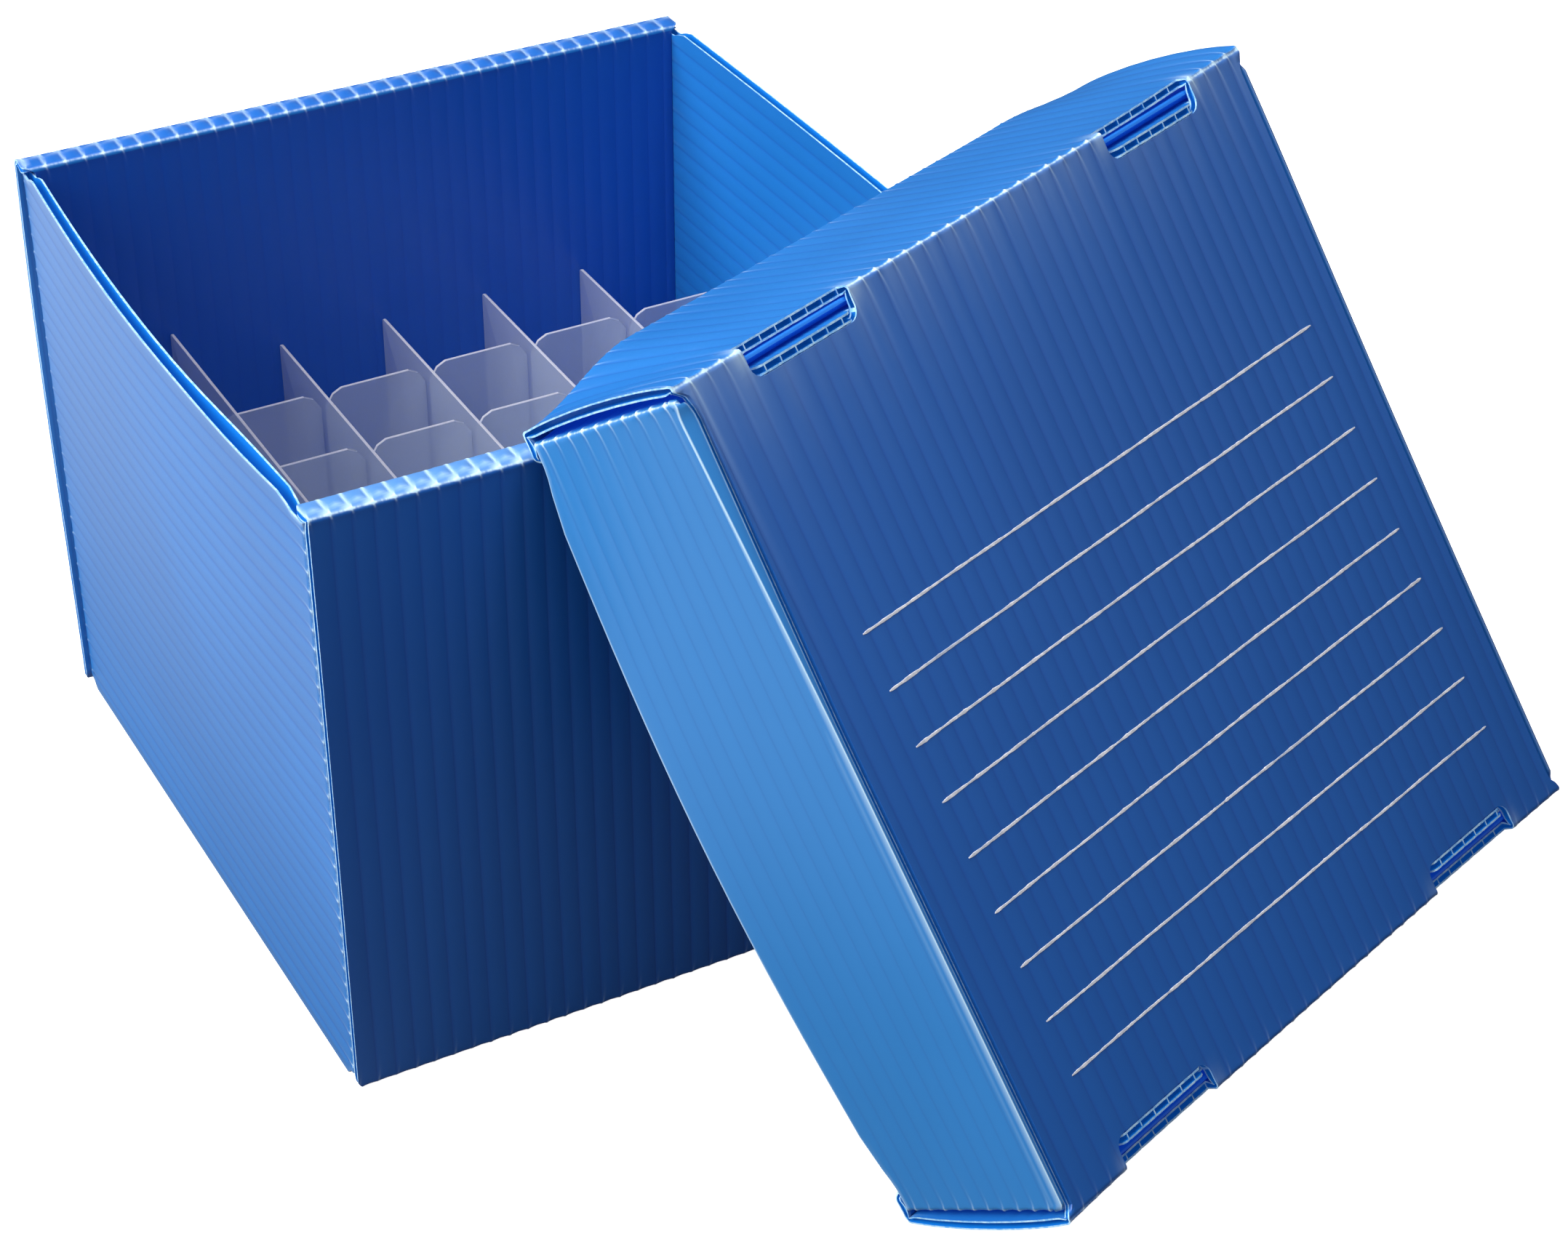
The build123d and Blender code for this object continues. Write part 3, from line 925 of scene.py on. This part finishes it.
base_main = base_folded_sheet()
base_left = base_side("base_left_wall_sheet", -1.0)
base_right = base_side("base_right_wall_sheet", 1.0)
for ob in (base_main, base_left, base_right):
    finish(ob, base_field, BLUE, "base")
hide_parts("base_floor", *[f"base_{a}_{b}" for a in ("front", "back")
            for b in ("outer_panel", "rim_strip", "inner_panel")])
for ob, s in ((base_left, "left"), (base_right, "right")):
    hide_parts(f"base_{s}_side_panel", f"base_front_{s}_corner_flap",
                f"base_back_{s}_corner_flap")


# ------------------------------------------------------------------ lid
SLOTS = ((16.0, 42.0), (110.0, 136.0))         # x range of the slots on each long fold
SLOT_ON_TOP, SLOT_ON_WALL = 5.78, 2.6          # reach of a slot from the outer corner
BAND = CEILING - 12.0                          # where the tab pieces begin
CRUSHED = 62.0                                 # length of the crushed band


def crushed_width(y):
    """Width of the crushed band along the left fold: widest near the upper corner."""
    t = np.clip((LID_D - y) / CRUSHED, 0, 1)
    at_corner = 0.35 + 0.65 * smooth(1.5, 6.0, LID_D - y)
    return 2.0 * (1 - t) ** 1.15 * (y > LID_D - CRUSHED) * at_corner


def lid_field(p):
    """Bows of the lid's walls and top, then its place in the world."""
    q = p.copy()
    x, y, z = p.T
    rimward = np.clip(1 - z / LID_H, 0, 1)
    along, across = hump(y / LID_D), hump(x / LID_W)
    left = 1 - smooth(0, 10, x)
    right = 1 - smooth(0, 10, LID_W - x)
    lower = 1 - smooth(0, 11, y)
    upper = 1 - smooth(2, 17, LID_D - y)
    q[:, 0] -= 4.2 * left * along ** 1.1 * rimward ** 1.4
    q[:, 0] += 0.5 * right * along * rimward ** 1.4
    to_right = 1 - 0.35 * smooth(LID_W - 22, LID_W, x)
    q[:, 1] += 5.6 * upper * smooth(0, 28, x) * to_right * rimward ** 1.1
    q[:, 1] -= 0.4 * lower * across * rimward ** 1.3
    top = smooth(CEILING - 6, CEILING, z)
    q[:, 2] -= 0.5 * top * across * along
    q[:, 0] -= 0.7 * top * right * along
    # the right upper corner is a little low
    corner = np.exp(-((LID_W - x) ** 2 + (LID_D - y) ** 2) / 13.0 ** 2)
    q[:, 2] -= 0.3 * corner * smooth(LID_H - 25, LID_H, z)
    # the sheet has crept: a little wider and twisted at its right-hand side
    q[:, 0] += 1.5 * smooth(0.2 * LID_W, LID_W, x)
    q[:, 1] += (1.0 * y / LID_D - 1.6 * (1 - y / LID_D)) * (x / LID_W) ** 2 * z / LID_H
    return LID_ORIGIN + q[:, :1] * LID_X + q[:, 1:2] * LID_Y + q[:, 2:3] * LID_Z


def lid_strength(v, path):
    """Creases are whitest near the upper left corner, and bare within the slots."""
    up = (path.crease == PANEL_CREASE_B)[:, None]
    by_panel = up | (path.crease == PANEL_CREASE_A)[:, None]
    k = 1 + 0.9 * bell(v, 15.0) * up + 0.35 * bell(LID_W - v, 14.0) * up
    close = np.abs(path.from_crease)[:, None] < 12
    for x0, x1 in SLOTS:
        k = k * (1 - 0.9 * ((v > x0 - 0.2) & (v < x1 + 0.2) & close & by_panel))
    return k


def lid_white(sheet, v, path):
    cell = v / sheet.pitch
    away = path.from_crease[:, None]
    upper = path.crease == PANEL_CREASE_B
    # the rims carry painted glints at half strength, besides their whitened rib lines and gussets
    white = rim_white(sheet, v, path, front=0.0, line=0.6)
    # painted reflection: pale haze on the top panel below its upper crease, in streaks along the
    # flutes
    haze = (upper & (path.run == PANEL))[:, None] * decay(np.abs(away), 8.0)
    streaks = 0.07 + 0.12 * hash01(np.floor(cell * 2 + 0.5), 7.7)
    white = white + haze * streaks * (1 + 0.8 * bell(v, 30.0))
    # pale smudges beyond each end of a slot, near the creases
    by_panel = (upper | (path.crease == PANEL_CREASE_A))[:, None]
    amount = by_panel * np.where(upper, 1.0, 0.45)[:, None] * 0.42
    for x0, x1 in SLOTS:
        for x_end, sign in ((x0, -1), (x1, 1)):
            beyond = (v - x_end) * sign
            white = white + amount * bell(beyond - 0.9, 1.3) * bell(away, 3.0) * (beyond > -0.6)
    return np.clip(white, 0, 1)


def lid_push(v, path):
    """The end walls' raw edges splay outward like a lens between rim and fold."""
    from_left, from_right = np.maximum(v, 0), np.clip(LID_W - v, 0, None)
    lens = hump(path.pos[:, 1][:, None] / LID_H) ** 0.5
    left, right = np.exp(-(from_left / 11.0) ** 1.4), np.exp(-(from_right / 18.0) ** 1.4)
    upper = (path.run == WALL_B)[:, None] * lens * (1.6 * left + 2.4 * right)
    lower = (path.run == WALL_A)[:, None] * lens * (1.7 * left + 0.4 * right)
    return upper + lower


def lid_gape(v, path):
    left = decay(np.maximum(v, 0), 3.0)
    right = decay(np.clip(LID_W - v, 0, None), 3.0)
    wall = ((path.run == WALL_B) | (path.run == WALL_A))[:, None]
    return wall * hump(path.pos[:, 1][:, None] / LID_H) * (0.15 * left + 0.1 * right)


def slot_outline(x0, x1, reach, radius, back=-1.2, steps=7):
    """(x, distance from the outer face), round at the far corners."""
    points = [(x0, back), (x1, back)]
    for centre, start in ((x1 - radius, 0.0), (x0 + radius, math.pi / 2)):
        for q in range(steps + 1):
            a = start + math.pi / 2 * q / steps
            points.append((centre + radius * math.cos(a), reach - radius + radius * math.sin(a)))
    return points


def cut_slots(ob):
    """Two slots through each long fold of the top, into the panel and the wall."""
    low = [slot_outline(x0, x1, SLOT_ON_TOP, radius=2.4) for x0, x1 in SLOTS]
    up = [[(x, LID_D - y) for x, y in loop] for loop in low]
    cut_with(ob, prism("slot_cut_top", low + up, CEILING - 0.9, LID_H + 1.5, 2))
    wall = [[(x, LID_H - z) for x, z in slot_outline(x0, x1, SLOT_ON_WALL, radius=1.7)]
            for x0, x1 in SLOTS]
    cut_with(ob, prism("slot_cut_low", wall, -2.0, 2.2, 1))
    cut_with(ob, prism("slot_cut_up", wall, LID_D - 2.2, LID_D + 2.0, 1))


def lid_folded_sheet():
    """Top panel, lower and upper walls, their rims and inner panels, as one sheet."""
    path = Path([(RIM, BAND), (RIM, 0), (0, 0), (0, LID_H), (LID_D, LID_H), (LID_D, 0),
                 (LID_D - RIM, 0), (LID_D - RIM, BAND)], -1.0)
    sheet = Sheet(path, 0.0, LID_W, yz_to_xyz)
    run, away = path.run, path.from_crease
    inset = path.per_run([SHEET + GAP, 0, 0, 0, 0, 0, SHEET + GAP])
    # the top panel stops short of the folds of the side walls
    at_left = np.where(run == PANEL, smooth(0.2, 2.3, np.abs(away)), 0.0)
    at_right = np.where(run == PANEL, smooth(1.4, 3.4, np.abs(away)), 0.0)
    sheet.lo = inset + at_left * (1.72 + 0.85 * crushed_width(path.pos[:, 0]))
    sheet.hi = LID_W - inset - at_right * 1.40
    sheet.lip = at_left
    sheet.hollow_lo = sheet.hollow_hi = path.per_run([3.0, 0.4, 3.0, 0.12, 3.0, 0.4, 3.0])
    sheet.pinch = 1 - path.per_crease([0.42, 0.42, 0.45, 0.45, 0.42, 0.42]) * bell(away, 1.5)
    sheet.scallop = path.per_crease([0.7, 0.8, 0.55, 1.0, 0.9, 0.7])
    sheet.pillow = rim_pillow(path, 0.40)
    sheet.strength = path.per_crease([0.5, 0.7, 0.42, 1.0, 0.8, 0.55])
    sheet.strength[(run == WALL_A) & (path.crease == PANEL_CREASE_A) & (away < -0.7)] *= 0.5
    # painted shade: the top panel is marked for a darker colour
    sheet.kind = np.where(run == PANEL, SHADED, PLAIN)
    sheet.strength_at, sheet.push, sheet.gape = lid_strength, lid_push, lid_gape
    sheet.white = lambda v, path: lid_white(sheet, v, path)
    ob = sheet.build("lid_folded_sheet")
    cut_slots(ob)
    return ob


def lid_side(name, side):
    """A lid side wall with its two corner flaps, folded to the top along its length."""
    y0, y1 = SHEET + FLAP_GAP, LID_D - SHEET - FLAP_GAP
    is_left = side < 0
    wall_x = 0.0 if is_left else LID_W
    flap_end = wall_x - side * (SHEET + 44.0)
    path = Path([(flap_end, y0), (wall_x, y0), (wall_x, y1), (flap_end, y1)], side)
    sheet = Sheet(path, 0.0, LID_H, xy_to_xyz, fold="hi")
    wall = path.run == 1
    y = path.pos[:, 1]
    away = np.abs(path.from_crease)
    between = smooth(RIM + 0.15, RIM + 11.0, np.minimum(y, LID_D - y)) * wall
    sheet.lo = (SHEET + 0.12) * (1 - between)
    rise = smooth(0.0, 1.2, away) if is_left else smooth(0.6, 2.2, away)
    reach = np.where(wall, 0.6 + 0.4 * rise, 0.6 * (1 - smooth(0.4, 1.3, away)))
    sheet.hi = (CEILING - GAP) + (LID_H - CEILING + GAP) * reach
    sheet.pinch = 1 - 0.45 * bell(path.from_crease, 1.5)
    sheet.strength = np.where(wall, 1.0, 0.55) * path.per_crease([0.6, 1.1])
    sheet.scallop = path.per_crease([0.8, 1.0])
    if is_left:
        sheet.chamfer = crushed_width(y) * wall * reach
    sheet.fold_white = (0.95 if is_left else 0.6) * wall * reach
    # painted sheen on the left wall, and a painted glow on the corner flaps
    sheet.kind = np.where(wall | (away < 0.8), PAINTED_SHEEN if is_left else PLAIN, FLAP)

    def white(v, path):
        """Bright rim edge, and a faint line below the uncrushed part of the fold."""
        uncrushed = (wall & (y < LID_D - CRUSHED))[:, None]
        return (0.7 * bell(v - sheet.lo[:, None], 0.25) * wall[:, None]
                + 0.12 * bell(sheet.hi[:, None] - 2.0 - v, 0.25) * uncrushed)

    sheet.white = white
    return sheet.build(name)


def locking_tabs(name, upper):
    """The last part of a roll-over panel, with its two locking tabs."""
    panel_y = LID_D - RIM if upper else RIM
    z = np.array([BAND, BAND + 4, BAND + 8, CEILING - 1.2, CEILING - GAP, CEILING + 0.6,
                  LID_H - 0.5, LID_H - 0.2, LID_H + 0.02])
    rows = len(z)
    path = SimpleNamespace(
        pos=np.stack([np.full(rows, panel_y), z], 1),
        normal=np.repeat(np.array([[-1.0 if upper else 1.0, 0.0]]), rows, 0),
        along=z - z[0], from_crease=np.full(rows, FAR))
    sheet = Sheet(path, 0.0, LID_W, yz_to_xyz)
    sheet.lo = np.full(rows, SHEET + GAP)
    sheet.hi = np.full(rows, LID_W - SHEET - GAP)
    sheet.white = lambda v, path: 0.35 * smooth(LID_H - 0.5, LID_H, path.pos[:, 1])[:, None]
    ob = sheet.build(name)

    # trim away everything above the ceiling but the tabs
    bottom, top = CEILING - GAP, LID_H + 1.5
    corner = 1.1
    (a0, a1), (b0, b1) = [(x0 + 1.4, x1 - 1.4) for x0, x1 in SLOTS]

    def tab_side(x, inward):
        """A tab's side from the bottom up, with its corner taken off."""
        return [(x, bottom), (x, LID_H - corner),
                (x + inward * 0.3 * corner, LID_H - 0.35 * corner),
                (x + inward * corner, LID_H + 0.06), (x + inward * corner, top)]

    loops = [[(-1.0, bottom)] + tab_side(a0, 1) + [(-1.0, top)],
             tab_side(a1, -1)[::-1] + tab_side(b0, 1),
             tab_side(b1, -1)[::-1] + [(LID_W + 1.0, bottom), (LID_W + 1.0, top)]]
    start = panel_y - (0 if upper else SHEET) - 0.4
    cut_with(ob, prism("tab_trim", loops, start, start + SHEET + 0.8, 1))
    return ob


def writing_lines():
    """Nine printed writing lines, thin raised ink with slightly uneven edges."""
    count, stations = 9, 150
    first_line, spacing = 50.3, 10.36              # down from the panel's upper edge
    pitch = LID_W / round(LID_W / PITCH)
    rng = np.random.default_rng(11)
    x = np.linspace(13.7, 139.8, stations)
    # the ink follows the sheet's ribs
    cell = x / pitch
    from_rib = np.abs(cell - np.round(cell)) * pitch
    crest = LID_H + 0.075 + 0.03 * np.sin(np.pi * (cell % 1)) ** 2 - 0.04 * bell(from_rib, 0.32)
    foot = np.full(stations, LID_H - 0.03)
    co, faces = [], []
    for q in range(count):
        half = 0.27 + 0.035 * np.sin(x * 0.7 + q) + 0.03 * rng.standard_normal(stations)
        half[0] = half[-1] = 0.12
        y = LID_D - first_line - spacing * q + 0.03 * np.sin(x * 0.21 + 1.7 * q)
        ring = [np.stack([x, y + half * side, z], 1)
                for side, z in ((-1, foot), (-0.7, crest), (0.7, crest), (1, foot))]
        co.append(np.stack(ring, 1).reshape(-1, 3))
        start = 4 * stations * q
        for b in range(start, start + 4 * (stations - 1), 4):
            for c in range(4):
                e = (c + 1) % 4
                faces.append((b + c, b + e, b + 4 + e, b + 4 + c))
        faces.append((start, start + 3, start + 2, start + 1))
        end = start + 4 * (stations - 1)
        faces.append((end, end + 1, end + 2, end + 3))
    return new_mesh("lid_writing_lines", np.concatenate(co), faces)


lid_main = lid_folded_sheet()
lid_left = lid_side("lid_left_wall_sheet", -1.0)
lid_right = lid_side("lid_right_wall_sheet", 1.0)
tabs_low = locking_tabs("lid_lower_locking_tabs", upper=False)
tabs_up = locking_tabs("lid_upper_locking_tabs", upper=True)
lines = writing_lines()
for ob in (lid_main, lid_left, lid_right, tabs_low, tabs_up, lines):
    finish(ob, lid_field, INK if ob is lines else BLUE, "lid")
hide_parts("lid_top_panel", *[f"lid_{a}_{b}" for a in ("lower", "upper")
            for b in ("outer_panel", "rim_strip", "inner_panel")])
for ob, s in ((lid_left, "left"), (lid_right, "right")):
    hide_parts(f"lid_{s}_side_panel", f"lid_lower_{s}_corner_flap",
                f"lid_upper_{s}_corner_flap")


# ------------------------------------------------------------------ divider
STRIP_T = 0.6                                  # strip thickness
SLIT = 0.5                                     # half the width of a slit
OVERLAP = 0.4                                  # how far a slit passes mid height
LEAD = 3.6                                     # size of the sloped lead-ins


def rounded(points):
    """A closed outline from (a, z, corner radius) points."""
    out = []
    flat = [np.array(p[:2], float) for p in points]
    for i, p in enumerate(flat):
        radius = points[i][2]
        if radius <= 0:
            out.append(tuple(p))
            continue
        a = flat[i - 1] - p
        b = flat[(i + 1) % len(flat)] - p
        a /= np.linalg.norm(a)
        b /= np.linalg.norm(b)
        half = math.acos(max(-1, min(1, float(a @ b)))) / 2
        cut = radius / math.tan(half)
        p0, p1 = p + a * cut, p + b * cut
        for k in range(6):
            t = k / 5
            out.append(tuple((1 - t) ** 2 * p0 + 2 * t * (1 - t) * p + t ** 2 * p1))
    return out


def strip_piece(name, outline, axis, centre):
    """A frosted strip from its outline, with softened cut edges.

    axis is the one that the strip is thin along: 0 for x, 1 for y.
    """
    bm = bmesh.new()
    near = centre - STRIP_T / 2
    f = bm.faces.new([bm.verts.new((near, a, z) if axis == 0 else (a, near, z))
                      for a, z in outline])
    bm.normal_update()
    ext = bmesh.ops.extrude_face_region(bm, geom=[f])
    across = Vector((1, 0, 0)) if axis == 0 else Vector((0, 1, 0))
    moved = [v for v in ext["geom"] if isinstance(v, bmesh.types.BMVert)]
    bmesh.ops.translate(bm, verts=moved, vec=across * STRIP_T)
    bmesh.ops.recalc_face_normals(bm, faces=bm.faces)
    broad = [x for x in bm.faces if len(x.verts) > 10]
    edges = {e for x in broad for e in x.edges}
    bmesh.ops.bevel(bm, geom=list(edges), offset=0.13, segments=2, profile=0.5,
                    affect="EDGES", clamp_overlap=True)
    bm.normal_update()
    for x in bm.faces:
        x.smooth = True
        # cut edges are hazier, but not those of the cross strips that look to the right
        looks_right = axis == 1 and x.normal.x > 0.25
        x.material_index = 0 if abs(x.normal.dot(across)) > 0.95 or looks_right else 1
    for v in bm.verts:
        v.co *= 0.001
    me = bpy.data.meshes.new(name)
    bm.to_mesh(me)
    bm.free()
    me.set_sharp_from_angle(angle=math.radians(40))
    me.materials.append(FROST)
    me.materials.append(FROST_EDGE)
    return link_object(name, me)


def long_outline(lo, hi, cross_y, slit_depth):
    """Strip along y, with slits up from its lower edge."""
    z0, z1 = lo[2], hi[2]
    top = z0 + slit_depth
    points = [(lo[1], z1, 1.1), (lo[1], z0, 0)]
    for y in cross_y:
        a, b = y - SLIT, y + SLIT
        points += [(a, z0, 0), (a, top, 0), (b, top, 0), (b, z0, 0)]
    return rounded(points + [(hi[1], z0, 0), (hi[1], z1, 1.1)])


def cross_outline(lo, hi, long_x, slit_bottom):
    """Strip along x, with slits down from its upper edge between sloped lead-ins."""
    z0, z1 = lo[2], hi[2]
    shoulder, bend_z = z1 - LEAD, z1 - LEAD * 0.28
    bend = LEAD * 0.45
    points = [(lo[0], z0, 0), (lo[0], shoulder, 0.8), (lo[0] + LEAD, z1, 0.8)]
    for x in long_x:
        a, b = x - SLIT, x + SLIT
        points += [(a - LEAD, z1, 0.7), (a - bend, bend_z, 0), (a, shoulder, 0),
                   (a, slit_bottom, 0), (b, slit_bottom, 0), (b, shoulder, 0),
                   (b + bend, bend_z, 0), (b + LEAD, z1, 0.7)]
    return rounded(points + [(hi[0] - LEAD, z1, 0.8), (hi[0], shoulder, 0.8), (hi[0], z0, 0)])


def build_divider():
    long_boxes = [box_mm(f"divider_long_strip_{k}") for k in range(1, 6)]
    cross_boxes = [box_mm(f"divider_cross_strip_{k}") for k in range(1, 6)]
    long_x = [(lo[0] + hi[0]) / 2 for lo, hi in long_boxes]
    cross_y = [(lo[1] + hi[1]) / 2 for lo, hi in cross_boxes]
    bottom, top = cross_boxes[0][0][2], cross_boxes[0][1][2]
    for k, (lo, hi) in enumerate(long_boxes):
        outline = long_outline(lo, hi, cross_y, (top - bottom) / 2 + OVERLAP)
        ob = strip_piece(f"long_strip_{k + 1}", outline, 0, long_x[k])
        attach(ob, f"strip_{k + 1}")
        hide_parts(f"divider_long_strip_{k + 1}")
    for k, (lo, hi) in enumerate(cross_boxes):
        outline = cross_outline(lo, hi, long_x, (bottom + top) / 2 - OVERLAP)
        ob = strip_piece(f"cross_strip_{k + 1}", outline, 1, cross_y[k])
        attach(ob, "divider")
        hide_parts(f"divider_cross_strip_{k + 1}")


build_divider()


# ------------------------------------------------------------------ stage (metres)
def floor_material():
    """White to the camera, dim to bounced light, lit on its left side to mirrors."""
    g = new_shader("pale_floor")
    seen = g.add("ShaderNodeBsdfDiffuse", {"Color": (0.93, 0.93, 0.93)})
    lift = g.add("ShaderNodeEmission", {"Color": (1, 1, 1), "Strength": 0.96})
    bright = g.add("ShaderNodeAddShader", {0: seen, 1: lift})
    dim = g.add("ShaderNodeBsdfDiffuse", {"Color": (0.20, 0.20, 0.205)})
    x, y = g.split(g.add("ShaderNodeNewGeometry", output="Position"))
    leftward = x * -1.0 + y * 0.15
    shine = g.add("ShaderNodeEmission", {
        "Color": (1.0, 0.99, 0.98),
        "Strength": g.ramp(leftward, 0.02, 0.18, low=0.08, high=1.0)})
    path = g.node("ShaderNodeLightPath")
    glossy_ray, camera_ray = (Signal(g, path.outputs[f"Is {ray} Ray"])
                              for ray in ("Glossy", "Camera"))
    return g.surface(g.mix_shader(camera_ray, g.mix_shader(glossy_ray, dim, shine), bright))


def floor(reach=6.0):
    me = bpy.data.meshes.new("floor")
    me.from_pydata([(-reach, -reach, 0), (reach, -reach, 0), (reach, reach, 0),
                    (-reach, reach, 0)], [], [(0, 1, 2, 3)])
    ob = link_object("floor", me)
    me.materials.append(floor_material())


def area_light(name, at, size, power, colour):
    aim = Vector((0.02, -0.04, 0.06))
    light = bpy.data.lights.new(name, "AREA")
    light.shape = "RECTANGLE"
    light.size = light.size_y = size
    light.energy = power
    light.color = colour
    ob = link_object(name, light)
    ob.location = at
    ob.rotation_mode = "QUATERNION"
    ob.rotation_quaternion = (aim - Vector(at)).to_track_quat("-Z", "Y")


def studio_world():
    """White to the camera, a dim violet fill to everything else."""
    world = bpy.data.worlds.new("studio")
    bpy.context.scene.world = world
    g = Shader(world)
    fill = g.add("ShaderNodeBackground", {"Color": (0.90, 0.82, 1.0), "Strength": 0.155})
    white = g.add("ShaderNodeBackground", {"Color": (1, 1, 1), "Strength": 1.0})
    g.node("ShaderNodeOutputWorld", {0: g.mix_shader(g.light_path("Is Camera Ray"), fill, white)})


def camera():
    data = bpy.data.cameras.new("camera")
    data.sensor_fit = "HORIZONTAL"
    data.sensor_width = 36.0
    data.lens = 77.465
    data.clip_start, data.clip_end = 0.02, 50.0
    ob = link_object("camera", data)
    right = np.array((0.876739, -0.480946, 0.004297))
    down = np.array((-0.269056, -0.49784, -0.824478))
    forward = np.array((0.398669, 0.721696, -0.565878))
    turn = Matrix((right, -down, -forward)).transposed().to_4x4()
    ob.matrix_world = Matrix.Translation((-0.225655, -0.51465, 0.418606)) @ turn
    bpy.context.scene.camera = ob


floor()
area_light("key_left", at=(-1.27, 0.12, 0.98), size=1.1, power=35.0, colour=(1.0, 0.99, 0.97))
area_light("overhead", at=(-0.07, -0.05, 0.66), size=0.45, power=2.9, colour=(0.99, 0.98, 1.0))
area_light("front_right", at=(1.45, -0.85, 0.95), size=0.8, power=1.3, colour=(1.0, 0.96, 0.97))
studio_world()
camera()
scene = bpy.context.scene
scene.view_settings.view_transform = "Standard"
scene.view_settings.look = "None"
scene.cycles.transparent_max_bounces = 40
scene.cycles.max_bounces = 12
